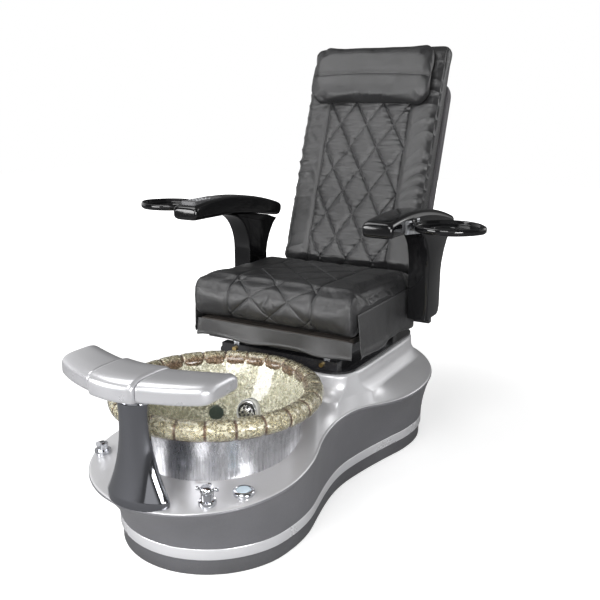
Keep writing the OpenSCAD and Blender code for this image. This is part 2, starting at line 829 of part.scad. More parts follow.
// Hinge knuckles on the armrest's side, with a stop strut under the tray
module tray_bracket() {
    color(steel) {
        for (side = [-1, 1]) difference() {
            union() {
                rod_y(tray_axis_x, tray_y + side * 30 - 10, tray_y + side * 30 + 10, tray_axis_z, 6);
                block(pad_outer_x + fit_gap, tray_axis_x, tray_y + side * 30 - 10, tray_y + side * 30 + 10,
                      tray_axis_z - 34, tray_axis_z + 4);
            }
            rod_y(tray_axis_x, tray_y - 60, tray_y + 60, tray_axis_z, 3);
        }
        rod_y(tray_axis_x, tray_y - 39, tray_y + 39, tray_axis_z, 3);
        for (side = [-1, 1]) side_strut(tray_y + side * 30);
    }
}

module side_strut(y) {
    under = tray_axis_z - 1 - tray_h - fit_gap;
    translate([0, y + 4, 0]) rotate([90, 0, 0]) linear_extrude(8) polygon(
        [[pad_outer_x + fit_gap, under], [pad_outer_x + fit_gap, under - 14],
         [tray_axis_x + 42, under - 5], [tray_axis_x + 42, under]]);
}

module tray_bracket_left() {
    tray_bracket();
}

module tray_bracket_right() {
    mirror([1, 0, 0]) tray_bracket();
}

module remote_handset() {
    color([0.30, 0.30, 0.31]) translate([remote_x, remote_y, remote_z]) difference() {
        linear_extrude(20) soft_rect(57.4, 151.4, 8);
        key_grid(0.15, 15);
    }
}

module key_grid(grow, z) {
    for (row = [0 : 4]) for (col = [-1 : 1])
        translate([col * 15, -44 + row * 16, z]) cylinder(r = 4.5 + grow, h = 8, $fn = 24);
}

module remote_keys() {
    color([0.75, 0.76, 0.78]) translate([remote_x, remote_y, remote_z]) {
        intersection() {
            key_grid(0, 16);
            translate([-40, -80, 16]) cube([80, 160, 5.5]);
        }
    }
}

kick_plinth();
base_pan();
bright_band();
tub_body();
bowl_skirt();
basin();
basin_rim();
drain_strainer();
drain_pipe();
jet_collar();
jet_housing();
jet_cover();
jet_impeller();
basin_light();
valve_body();
valve_handle();
button_bezel();
air_button();
diverter_body();
diverter_lever();
footrest_column();
footrest_guide();
footrest_post();
footrest_bracket();
footrest_centre();
footrest_wing_left();
footrest_wing_right();
seat_plate();
slide_frame();
frame_bolts();
fixed_rails();
moving_rails();
discharge_pump();
control_box();
power_inlet();
seat_frame();
seat_board();
seat_cushion();
front_flap();
side_flap_left();
side_flap_right();
recline_pins();
actuator_body();
actuator_rod();
back_frame();
back_cushion();
back_shell();
head_pillow();
massage_carriage();
massage_rollers();
arm_post_left();
arm_post_right();
arm_left();
arm_right();
tray_left();
tray_right();
tray_bracket_left();
tray_bracket_right();
remote_handset();
remote_keys();
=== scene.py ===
import json
import math

import bmesh
import bpy
import numpy as np
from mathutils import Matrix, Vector


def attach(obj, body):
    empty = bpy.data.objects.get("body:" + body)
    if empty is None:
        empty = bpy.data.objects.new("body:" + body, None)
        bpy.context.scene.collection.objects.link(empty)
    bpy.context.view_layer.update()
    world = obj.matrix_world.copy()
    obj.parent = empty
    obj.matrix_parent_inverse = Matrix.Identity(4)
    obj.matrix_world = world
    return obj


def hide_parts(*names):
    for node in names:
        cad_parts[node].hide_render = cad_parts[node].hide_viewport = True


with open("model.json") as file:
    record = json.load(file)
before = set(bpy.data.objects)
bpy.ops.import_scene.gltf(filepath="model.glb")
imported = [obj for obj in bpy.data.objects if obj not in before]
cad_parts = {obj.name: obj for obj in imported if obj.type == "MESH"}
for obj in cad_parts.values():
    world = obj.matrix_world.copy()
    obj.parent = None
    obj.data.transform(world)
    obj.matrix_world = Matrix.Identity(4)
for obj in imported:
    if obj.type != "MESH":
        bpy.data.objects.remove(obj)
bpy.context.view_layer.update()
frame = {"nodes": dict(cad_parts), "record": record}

# ---------- sizes that the dressed pieces share with the frame, in metres ----------

BAND_TOP = 0.078
BOWL_Y = -0.335
SKIRT_R = 0.232
RIM_R = 0.2695
RIM_Z = 0.394
RIM_TUBE = 0.0285
RIM_SEGMENTS = 24
JET_AT = np.array([-0.020, BOWL_Y + 0.1815, 0.262])
JET_AXIS = (0.0, -0.93, 0.37)
BUTTON_AT = (0.221, -0.536, 0.2375)
VALVE_AT = (0.168, -0.615, 0.2380)
COLUMN_Y = -0.672
COLUMN_FOOT = 0.240
COLUMN_TOP = 0.488
FOOTREST_HALF = 0.246
FOOTREST_Z = 0.5383
MIDDLE_PAD_HALF = 0.068
WING_START = MIDDLE_PAD_HALF + 0.0003
WING_END = 0.231
PEDESTAL_Y = 0.252
PEDESTAL_TOP = 0.380
SEAT_HALF = 0.285
SEAT_NOSE = -0.074
SEAT_REAR = 0.4075
SEAT_LOW = 0.5013
SEAT_MIDDLE = 0.571
SEAT_PANEL = 0.148
BACK_LEAN = math.radians(19)
BACK_PIVOT = np.array([0.0, 0.440, 0.520])
BACK_HALF = 0.268
BACK_PANEL = 0.155
BACK_REAR = 0.0379
PILLOW_REAR = -0.0384
SHELL_TOP = 0.774
ARM_INNER = 0.286
ARM_OUTER = 0.380
ARM_FRONT = -0.032
ARM_REAR = 0.495
ARM_PIVOT = (0.470, 0.782)
POST_INNER = 0.300
POST_OUTER = 0.370
POST_FOOT = 0.492
TRAY_AXIS = (0.3875, 0.840)
TRAY_Y = 0.096


# ---------- helpers that turn number grids into pieces ----------

def piece_from(name, points, faces, smooth=True):
    """A mesh from an array of points and a list of faces."""
    mesh = bpy.data.meshes.new(name)
    corners = np.asarray(points, float).reshape(-1, 3)
    mesh.from_pydata(corners.tolist(), [], [list(map(int, face)) for face in faces])
    mesh.update()
    mesh.polygons.foreach_set("use_smooth", [smooth] * len(mesh.polygons))
    piece = bpy.data.objects.new(name, mesh)
    bpy.context.scene.collection.objects.link(piece)
    return piece


def grid_faces(rows, columns, wrap=True):
    """Quads between neighbouring rings of a grid: row k, column i joins row k + 1, column i + 1."""
    k, i = np.meshgrid(np.arange(rows - 1), np.arange(columns if wrap else columns - 1), indexing="ij")
    j = (i + 1) % columns
    quads = np.stack([k * columns + i, k * columns + j, (k + 1) * columns + j, (k + 1) * columns + i], -1)
    return quads.reshape(-1, 4).tolist()


def ring_stack(name, rings):
    """A skin over rings of equal length, each a closed loop; one face closes each end."""
    rings = np.asarray(rings, float)
    rows, columns = rings.shape[:2]
    faces = grid_faces(rows, columns)
    faces.append(list(range(columns))[::-1])
    faces.append(list(range((rows - 1) * columns, rows * columns)))
    piece = piece_from(name, rings, faces)
    face_outwards(piece)
    return piece


def looped_grid(name, points, rows, columns):
    """A skin over a grid that closes on itself both ways."""
    k, i = np.meshgrid(np.arange(rows), np.arange(columns), indexing="ij")
    nk, ni = (k + 1) % rows, (i + 1) % columns
    faces = np.stack([k * columns + i, nk * columns + i, nk * columns + ni, k * columns + ni], -1)
    piece = piece_from(name, points, faces.reshape(-1, 4))
    face_outwards(piece)
    return piece


def face_outwards(piece):
    """Merges equal points of a closed piece and turns its faces outwards."""
    work = bmesh.new()
    work.from_mesh(piece.data)
    bmesh.ops.remove_doubles(work, verts=work.verts, dist=1e-6)
    bmesh.ops.recalc_face_normals(work, faces=work.faces)
    work.to_mesh(piece.data)
    work.free()
    piece.data.update()


def crease_by_angle(piece, degrees):
    """Smooth shading that breaks at edges sharper than the given angle."""
    piece.data.polygons.foreach_set("use_smooth", [True] * len(piece.data.polygons))
    piece.data.set_sharp_from_angle(angle=math.radians(degrees))
    return piece


def circle(count):
    """Evenly spaced angles of a full turn."""
    return np.linspace(0, 2 * math.pi, count, endpoint=False)


def bent(wave, power):
    """The wave with its size raised to a power and its sign kept: it turns an oval into a rounded oblong."""
    return np.sign(wave) * np.abs(wave) ** power


def drawn_in(radius, near):
    """How far a quarter round draws a section in: r (1 - square root of (1 - (1 - near) squared)). near is 0
    at the end and 1 a radius away from it."""
    return radius * (1 - math.sqrt(max(0.0, 1 - (1 - near) ** 2)))


def inward_normals(outline):
    """For each corner of a closed outline (n, 2), the mitred direction that moves it inwards by one unit."""
    edge = np.roll(outline, -1, 0) - outline
    length = np.linalg.norm(edge, axis=1, keepdims=True)
    side = np.stack([-edge[:, 1], edge[:, 0]], 1) / np.maximum(length, 1e-9)
    area = np.sum(outline[:, 0] * np.roll(outline[:, 1], -1) - np.roll(outline[:, 0], -1) * outline[:, 1])
    side = side * np.sign(area)
    both = side + np.roll(side, 1, 0)
    share = np.maximum(np.sum(both * both, 1, keepdims=True) / 2, 0.5)
    return both / share


def round_corners(corners, radius, steps=6):
    """A closed outline with every corner replaced by a short curve: quadratic Bezier through the corner."""
    corners = np.asarray(corners, float)
    radius = np.broadcast_to(np.asarray(radius, float), (len(corners),))[:, None]
    ends = []
    for other in (np.roll(corners, 1, 0), np.roll(corners, -1, 0)):
        length = np.linalg.norm(other - corners, axis=1, keepdims=True)
        ends.append(corners + (other - corners) * np.minimum(radius / length, 0.48))
    t = np.linspace(0, 1, steps)[None, :, None]
    curve = ends[0][:, None] * (1 - t) ** 2 + corners[:, None] * 2 * t * (1 - t) + ends[1][:, None] * t ** 2
    return curve.reshape(-1, 2)


def box_outline(x_low, y_low, x_high, y_high):
    """The four corners of an oblong."""
    return [(x_low, y_low), (x_high, y_low), (x_high, y_high), (x_low, y_high)]


def rounded_plate(name, outline, low, high, radius, place, steps=5):
    """A plate of the given outline between two heights, with its rims rounded: inset = r (1 - sin a),
    height = r (1 - cos a). place turns arrays (outline points, height) into positions."""
    outline = np.asarray(outline, float)
    inward = inward_normals(outline)
    turn = np.linspace(0, math.pi / 2, steps)
    levels = [(a, low + radius * (1 - math.cos(a))) for a in turn]
    levels += [(a, high - radius * (1 - math.cos(a))) for a in turn[::-1]]
    rings = [place(outline + inward * radius * (1 - math.sin(a)), height) for a, height in levels]
    return crease_by_angle(ring_stack(name, rings), 50)


def along_x(points, height):
    """Outline in Y and Z, height along X."""
    return np.column_stack([np.full(len(points), height), points])


def along_y(points, height):
    """Outline in X and Z, height along Y."""
    return np.column_stack([points[:, 0], np.full(len(points), height), points[:, 1]])


def along_z(points, height):
    """Outline in X and Y, height along Z."""
    return np.column_stack([points, np.full(len(points), height)])


def in_back(points):
    """Positions of points given in the back's own frame, whose origin is the recline axis and whose Z runs up
    the back: a turn by the lean, then a shift."""
    p = np.asarray(points, float)
    c, s = math.cos(BACK_LEAN), math.sin(BACK_LEAN)
    return np.stack([p[..., 0], p[..., 1] * c + p[..., 2] * s + BACK_PIVOT[1],
                     -p[..., 1] * s + p[..., 2] * c + BACK_PIVOT[2]], -1)


def to_back(points):
    """The opposite of in_back."""
    p = np.asarray(points, float) - BACK_PIVOT
    c, s = math.cos(BACK_LEAN), math.sin(BACK_LEAN)
    return np.stack([p[..., 0], p[..., 1] * c - p[..., 2] * s, p[..., 1] * s + p[..., 2] * c], -1)


def points_of(piece):
    """The piece's vertices as an array."""
    out = np.empty(len(piece.data.vertices) * 3)
    piece.data.vertices.foreach_get("co", out)
    return out.reshape(-1, 3)


def normals_of(piece):
    """The piece's vertex normals as an array."""
    out = np.empty(len(piece.data.vertices) * 3)
    piece.data.vertex_normals.foreach_get("vector", out)
    return out.reshape(-1, 3)


def set_points(piece, points):
    """Writes an array of positions back to the piece."""
    piece.data.vertices.foreach_set("co", np.asarray(points, float).reshape(-1))
    piece.data.update()


def soft_noise(p, size, seed, octaves=3):
    """Smooth noise from about -1 to 1: a sum of sine waves in seeded directions. Each octave is half as large
    and twice as fine."""
    rng = np.random.default_rng(seed)
    total, weight = np.zeros(len(p)), 0.0
    for octave in range(octaves):
        for wave in range(5):
            way = rng.normal(size=3)
            way *= 2 * math.pi * 2 ** octave / size / np.linalg.norm(way)
            bend = 1.3 * np.sin(p @ way[[1, 2, 0]] * 0.7)
            total += 0.5 ** octave * np.sin(p @ way + rng.uniform(0, 6.28) + bend)
            weight += 0.5 ** octave
    return total / (weight * 0.55)


def rise(value, low, high):
    """Smooth step from 0 at low to 1 at high."""
    t = np.clip((value - low) / (high - low), 0, 1)
    return t * t * (3 - 2 * t)


def ridge(distance, width):
    """Bell of the given width: 1 on the line, falling to 0 beside it."""
    return np.exp(-(distance / width) ** 2)


def applied(piece):
    """The piece with its modifiers made part of its mesh."""
    depsgraph = bpy.context.evaluated_depsgraph_get()
    mesh = bpy.data.meshes.new_from_object(piece.evaluated_get(depsgraph))
    piece.modifiers.clear()
    piece.data = mesh
    mesh.polygons.foreach_set("use_smooth", [True] * len(mesh.polygons))
    return piece


def cut_away(piece, tool):
    """Cuts a closed tool out of the piece and removes the tool."""
    boolean = piece.modifiers.new("cut", "BOOLEAN")
    boolean.operation = "DIFFERENCE"
    boolean.solver = "EXACT"
    boolean.object = tool
    applied(piece)
    bpy.data.objects.remove(tool)


def subdivided(piece):
    """One round of Catmull-Clark subdivision, applied."""
    smooth = piece.modifiers.new("smooth", "SUBSURF")
    smooth.levels = smooth.render_levels = 1
    return applied(piece)


def remeshed(piece, voxel):
    """Adds a modifier that rebuilds a closed form from even squares."""
    remesh = piece.modifiers.new("remesh", "REMESH")
    remesh.mode = "VOXEL"
    remesh.voxel_size = voxel


def eased(piece, voxel, rounds):
    """Remeshes a closed form evenly and rounds its edges."""
    remeshed(piece, voxel)
    smooth = piece.modifiers.new("ease", "SMOOTH")
    smooth.factor = 0.5
    smooth.iterations = rounds
    applied(piece)


def swollen(piece, voxel, pressure, cap):
    """Padding: the closed form is remeshed and blown up as cloth with no gravity. No point moves further than
    the cap."""
    frames = 16
    remeshed(piece, voxel)
    applied(piece)
    start = points_of(piece)
    cloth = piece.modifiers.new("cloth", "CLOTH")
    cloth.settings.quality = 4
    cloth.settings.mass = 0.35
    cloth.settings.tension_stiffness = 12
    cloth.settings.compression_stiffness = 12
    cloth.settings.bending_stiffness = 0.6
    cloth.settings.use_pressure = True
    cloth.settings.uniform_pressure_force = pressure
    cloth.settings.effector_weights.gravity = 0
    cloth.collision_settings.use_collision = False
    cloth.point_cache.frame_start, cloth.point_cache.frame_end = 1, frames
    scene = bpy.context.scene
    for step in range(1, frames + 1):
        scene.frame_set(step)
        bpy.context.view_layer.update()
    applied(piece)
    scene.frame_set(1)
    moved = points_of(piece) - start
    length = np.linalg.norm(moved, axis=1, keepdims=True)
    set_points(piece, start + moved * np.minimum(1, cap / np.maximum(length, 1e-9)))
    return subdivided(piece)


def dress(piece, body, slot, *nodes, finish=None):
    """Gives a new piece its slot's finish or another, the body it rides on and the nodes it stands for."""
    piece.data.materials.clear()
    piece.data.materials.append(FINISH[finish or slot])
    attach(piece, body)
    if nodes:
        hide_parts(*nodes)
    return piece


# ---------- shader building: numbers, textures and shared effects ----------

class Number:
    """A number in a shader tree; arithmetic on it adds Math nodes."""

    def __init__(self, tree, socket):
        self.tree, self.socket = tree, socket

    def step(self, operation, other=0.0):
        """One arithmetic step, with this number first."""
        node = add_node(self.tree, "Math", {"operation": operation}, i0=self, i1=other)
        return Number(self.tree, node.outputs[0])

    def __add__(self, other):
        return self.step("ADD", other)

    def __sub__(self, other):
        return self.step("SUBTRACT", other)

    def __mul__(self, other):
        return self.step("MULTIPLY", other)

    def most(self, other):
        """The larger of two numbers."""
        return self.step("MAXIMUM", other)

    def rest(self):
        """What is left of 1."""
        node = add_node(self.tree, "Math", {"operation": "SUBTRACT"}, i0=1.0, i1=self)
        return Number(self.tree, node.outputs[0])

    def smooth(self, low, high):
        """0 below low, 1 above high, smooth between."""
        node = add_node(self.tree, "MapRange", {"interpolation_type": "SMOOTHSTEP"}, Value=self, From_Min=low,
                        From_Max=high)
        return Number(self.tree, node.outputs["Result"])


def plug(tree, value, socket):
    """Links a value to a socket, or sets it there if it is a constant."""
    value = value.socket if isinstance(value, Number) else value
    if isinstance(value, bpy.types.NodeSocket):
        tree.links.new(value, socket)
    else:
        socket.default_value = value


def add_node(tree, kind, settings=None, **values):
    """A node with its settings. Values go into its sockets by name, or by place as i0, i1 and so on."""
    node = tree.nodes.new("ShaderNode" + kind)
    for key, value in (settings or {}).items():
        setattr(node, key, value)
    for key, value in values.items():
        by_place = key[0] == "i" and key[1:].isdigit()
        plug(tree, value, node.inputs[int(key[1:]) if by_place else key.replace("_", " ")])
    return node


def colour_between(mask, first, second):
    """The first colour where the mask is 0, the second where it is 1."""
    node = add_node(mask.tree, "Mix", {"data_type": "RGBA"}, i0=mask)
    for index, value in ((6, first), (7, second)):
        plug(mask.tree, (*value, 1) if isinstance(value, tuple) else value, node.inputs[index])
    return node.outputs[2]


def darker(colour, share):
    """The colour times a share."""
    return tuple(c * share for c in colour)


def object_place(tree):
    """Position on the piece in metres."""
    return tree.nodes.new("ShaderNodeTexCoord").outputs["Object"]


def parts(tree, vector):
    """The three numbers of a place, a direction or a colour."""
    return [Number(tree, socket) for socket in add_node(tree, "SeparateXYZ", Vector=vector).outputs]


def noise(tree, place, scale, detail=2.0, **more):
    """Cloudy noise."""
    node = add_node(tree, "TexNoise", Vector=place, Scale=scale, Detail=detail, **more)
    return Number(tree, node.outputs["Fac"])


def cells(tree, place, scale, feature="F1"):
    """Voronoi cells."""
    return add_node(tree, "TexVoronoi", {"feature": feature}, Vector=place, Scale=scale).outputs


def warped(tree, place, scale, detail, reach):
    """The place, pushed about by noise as far as reach."""
    push = add_node(tree, "TexNoise", Vector=place, Scale=scale, Detail=detail).outputs["Color"]
    return add_node(tree, "VectorMath", {"operation": "MULTIPLY_ADD"}, i0=push, i1=reach, i2=place).outputs[0]


def stretched(tree, place, scale, turn=(0, 0, 0)):
    """The place, scaled by its own amount along each axis, after a turn."""
    return add_node(tree, "Mapping", Vector=place, Rotation=turn, Scale=scale).outputs[0]


def effect_group(name, outputs, **numbers):
    """An empty node group that takes a place and named numbers, and puts out numbers of the given names."""
    group = bpy.data.node_groups.new(name, "ShaderNodeTree")
    group.interface.new_socket("Place", in_out="INPUT", socket_type="NodeSocketVector")
    for label, value in numbers.items():
        group.interface.new_socket(label, in_out="INPUT", socket_type="NodeSocketFloat").default_value = value
    for label in outputs:
        group.interface.new_socket(label, in_out="OUTPUT", socket_type="NodeSocketFloat")
    return group, group.nodes.new("NodeGroupInput").outputs, group.nodes.new("NodeGroupOutput").inputs


def hide_grain_group():
    """Grain of upholstery hide: small rounded cells with creases between them, and slow patches of shade."""
    g, given, out = effect_group("hide_grain", ("Height", "Crease", "Patch"), Cells=700.0)
    place = given["Place"]
    moved = warped(g, place, 160.0, 2.0, (0.0012, 0.0012, 0.0012))
    edge = Number(g, cells(g, moved, given["Cells"], "DISTANCE_TO_EDGE")["Distance"]).smooth(0.0, 0.16)
    plug(g, edge * 0.75 + noise(g, place, 1400.0, 3.0) * 0.25, out["Height"])
    plug(g, edge.rest(), out["Crease"])
    plug(g, noise(g, place, 9.0, 3.0), out["Patch"])
    return g


def fine_wear_group():
    """Handling marks: a slow smudge pattern, and hairline scratches that run one way."""
    g, given, out = effect_group("fine_wear", ("Smudge", "Scratch"), Size=6.0)
    place = given["Place"]
    plug(g, noise(g, place, given["Size"], 5.0, Roughness=0.6).smooth(0.35, 0.7), out["Smudge"])
    lines = noise(g, stretched(g, place, (900, 14, 900), (0.4, 0.7, 0.3)), 1.0, 1.0)
    plug(g, lines.smooth(0.70, 0.78), out["Scratch"])
    return g


def dust_group():
    """Thin dust that settles on faces that look up, broken by noise."""
    g, given, out = effect_group("settled_dust", ("Mask",), Amount=0.2)
    up = parts(g, g.nodes.new("ShaderNodeNewGeometry").outputs["Normal"])[2]
    plug(g, up.smooth(0.4, 1.0) * noise(g, given["Place"], 35.0, 6.0) * given["Amount"], out["Mask"])
    return g


def foil_group():
    """Crinkled foil: noise folded at its middle, with sharp valleys as creases, and small tilted facets."""
    g, given, out = effect_group("foil_crinkle", ("Height", "Tone", "Crease"), Facets=95.0)
    facets = Number(g, given["Facets"])
    moved = warped(g, given["Place"], 60.0, 3.0, (0.012, 0.012, 0.02))
    folds = noise(g, moved, facets * 0.32, 5.0, Roughness=0.6, Distortion=0.7)
    folded = (folds - 0.5).step("ABSOLUTE") * 4.0
    tilt = parts(g, cells(g, moved, facets)["Color"])[1]
    plug(g, folded + tilt * 0.12, out["Height"])
    plug(g, noise(g, moved, facets * 0.55, 3.0).smooth(0.25, 0.75), out["Tone"])
    plug(g, folded.smooth(0.0, 0.16).rest(), out["Crease"])
    return g


def brushed_group():
    """Brushing: fine streaks along Z, with slower bands of light and dark."""
    g, given, out = effect_group("brushed_streaks", ("Height", "Band"))
    plug(g, noise(g, stretched(g, given["Place"], (520, 520, 26)), 1.0, 3.0), out["Height"])
    plug(g, noise(g, stretched(g, given["Place"], (120, 120, 9)), 1.0, 4.0), out["Band"])
    return g


HIDE_GRAIN = hide_grain_group()
FINE_WEAR = fine_wear_group()
SETTLED_DUST = dust_group()
FOIL = foil_group()
BRUSHED = brushed_group()


def use_effect(tree, group, place, **numbers):
    """Places a shared effect in a material and gives its outputs by name."""
    node = tree.nodes.new("ShaderNodeGroup")
    node.node_tree = group
    for label, value in {"Place": place, **numbers}.items():
        plug(tree, value, node.inputs[label])
    return {socket.name: Number(tree, socket) for socket in node.outputs}


def new_material(name, **sockets):
    """A material with one Principled shader, its constants set on its own sockets."""
    material = bpy.data.materials.new(name)
    material.use_nodes = True
    tree = material.node_tree
    for key, value in sockets.items():
        tree.nodes["Principled BSDF"].inputs[key.replace("_", " ")].default_value = value
    return material, tree, object_place(tree)


def surface(material, colour, roughness, height, depth, strength):
    """Gives the material's shader a colour, a roughness and a small relief."""
    tree = material.node_tree
    shader = tree.nodes["Principled BSDF"]
    relief = add_node(tree, "Bump", Height=height, Distance=depth, Strength=strength).outputs[0]
    for label, value in (("Base Color", colour), ("Roughness", roughness), ("Normal", relief)):
        plug(tree, value, shader.inputs[label])
    return material


# ---------- finishes ----------

def hide_finish(name, light, dark, roughness):
    """Upholstery hide: grained, with painted shade in the grain's creases and slow patches of shade."""
    material, tree, place = new_material(name, IOR=1.48, Specular_IOR_Level=0.72)
    grain = use_effect(tree, HIDE_GRAIN, place, Cells=620.0)
    wear = use_effect(tree, FINE_WEAR, place, Size=14.0)
    base = colour_between(grain["Patch"].smooth(0.3, 0.7), dark, light)
    # Darker in the grain's creases: painted shade.
    deep = colour_between(grain["Crease"] * 0.5, base, darker(dark, 0.45))
    return surface(material, deep, wear["Smudge"] * 0.09 + (roughness - 0.04), grain["Height"], 0.00022, 0.7)


def painted_finish(name, colour, shade, metallic, roughness, coat, flake=0.05):
    """Metallic paint under clear coat: fine flakes, soft smudges and a little dust on top."""
    material, tree, place = new_material(name, Coat_Weight=coat, Coat_Roughness=0.22, Metallic=metallic)
    tone = parts(tree, cells(tree, place, 1500.0)["Color"])[0]
    base = colour_between(noise(tree, place, 3.5, 3.0).smooth(0.3, 0.7), shade, colour)
    bright = colour_between(tone * (flake * 2), base, (0.95, 0.95, 0.97))
    dust = use_effect(tree, SETTLED_DUST, place, Amount=0.10)["Mask"]
    smudge = use_effect(tree, FINE_WEAR, place, Size=5.0)["Smudge"]
    dusty = colour_between(dust, bright, (0.62, 0.60, 0.57))
    return surface(material, dusty, smudge * 0.05 + roughness + dust * 0.4, tone, 0.00003, 0.25)


def rim_painted_shade_mask(tree, place):
    """Mask of painted shade on the rolled rim: its inner and lower edges, and the grooves between its segments.
    """
    x, y, z = parts(tree, place)
    y = y - BOWL_Y
    inner = (x * x + y * y).step("SQRT").smooth(RIM_R - 0.026, RIM_R - 0.012).rest()
    low = z.smooth(RIM_Z - 0.022, RIM_Z - 0.016).rest()
    share = y.step("ARCTAN2", x) * (RIM_SEGMENTS / (2 * math.pi))
    groove = (share - share.step("ROUND")).step("ABSOLUTE").smooth(0.02, 0.075).rest()
    return (inner * 0.85).most(low).most(groove * 0.9)


def foil_finish(name, gold, pale, deep, brown, metallic, edged=False):
    """Crinkled foil under clear resin: brown in stains, and brown painted shade in its creases and, where
    edged, on the rim's edges.
    """
    material, tree, place = new_material(name, Metallic=metallic, Coat_Weight=1.0, Coat_Roughness=0.04)
    foil = use_effect(tree, FOIL, place, Facets=230.0)
    base = colour_between(foil["Tone"].smooth(0.35, 0.9), gold, pale)
    base = colour_between(foil["Tone"].smooth(0.0, 0.35), deep, base)
    stain = noise(tree, place, 16.0, 5.0, Roughness=0.65).smooth(0.52, 0.72) * 0.38
    # Brown in the foil's creases is painted shade; the stains are real.
    stains_and_painted_shade = (foil["Crease"] * 0.14).most(stain)
    if edged:
        # On the rim: brown painted shade on its inner and lower edges and in its grooves.
        stains_and_painted_shade = stains_and_painted_shade.most(rim_painted_shade_mask(tree, place))
    colour = colour_between(stains_and_painted_shade, base, brown)
    return surface(material, colour, foil["Tone"] * 0.18 + 0.17, foil["Height"], 0.0030, 0.85)


def brushed_finish(name, colour, roughness=0.26):
    """Metal brushed up and down."""
    material, tree, place = new_material(name, Metallic=1.0)
    brushed = use_effect(tree, BRUSHED, place)
    base = colour_between(brushed["Band"].smooth(0.35, 0.65), darker(colour, 0.72), colour)
    streak = brushed["Height"]
    return surface(material, base, streak * 0.16 + (roughness - 0.06), streak, 0.0004, 0.5)


def polished_finish(name, colour, roughness, metallic=1.0, coat=0.0, size=8.0):
    """Polished chrome or glossy moulding, with faint smudges and hairlines."""
    material, tree, place = new_material(name, Metallic=metallic, Coat_Weight=coat, Coat_Roughness=0.03)
    wear = use_effect(tree, FINE_WEAR, place, Size=size)
    base = colour_between(wear["Smudge"] * 0.25, colour, darker(colour, 0.85))
    rough = wear["Smudge"] * 0.05 + (wear["Scratch"] * 0.06 + roughness)
    return surface(material, base, rough, wear["Scratch"], 0.00001, 0.3)


def moulded_finish(name, colour, roughness=0.5, grain=420.0, depth=0.00012):
    """Moulded plastic, rubber or powder coat with a fine even texture and dust on its upper faces."""
    material, tree, place = new_material(name, Specular_IOR_Level=0.45)
    texture = noise(tree, place, grain, 4.0)
    base = colour_between(noise(tree, place, 12.0, 3.0).smooth(0.3, 0.7), darker(colour, 0.82), colour)
    dust = use_effect(tree, SETTLED_DUST, place, Amount=0.14)["Mask"]
    dusty = colour_between(dust, base, (0.45, 0.43, 0.40))
    return surface(material, dusty, texture * 0.12 + (roughness - 0.06), texture, depth, 0.6)


def board_finish():
    """Plywood painted dark as shade for the seam under the seat's nose: long grain with darker rings."""
    material, tree, place = new_material("board_painted_shade")
    rings = noise(tree, stretched(tree, place, (6, 60, 60)), 1.0, 6.0, Distortion=1.2)
    # Near-black colour: painted shade for the dark seam between the cushion and the front flap.
    painted_shade_grain = colour_between(rings.smooth(0.35, 0.65), (0.030, 0.026, 0.023), (0.050, 0.042, 0.036))
    return surface(material, painted_shade_grain, 0.6, rings, 0.0002, 0.5)


def lens_finish():
    """Dark green clear lens with small pips."""
    material, tree, place = new_material("lamp_lens", Transmission_Weight=0.35, IOR=1.49, Coat_Weight=0.4)
    pips = Number(tree, cells(tree, place, 380.0)["Distance"])
    green = colour_between(pips, (0.07, 0.10, 0.09), (0.14, 0.19, 0.17))
    return surface(material, green, pips * 0.1 + 0.12, pips, 0.0003, 0.5)


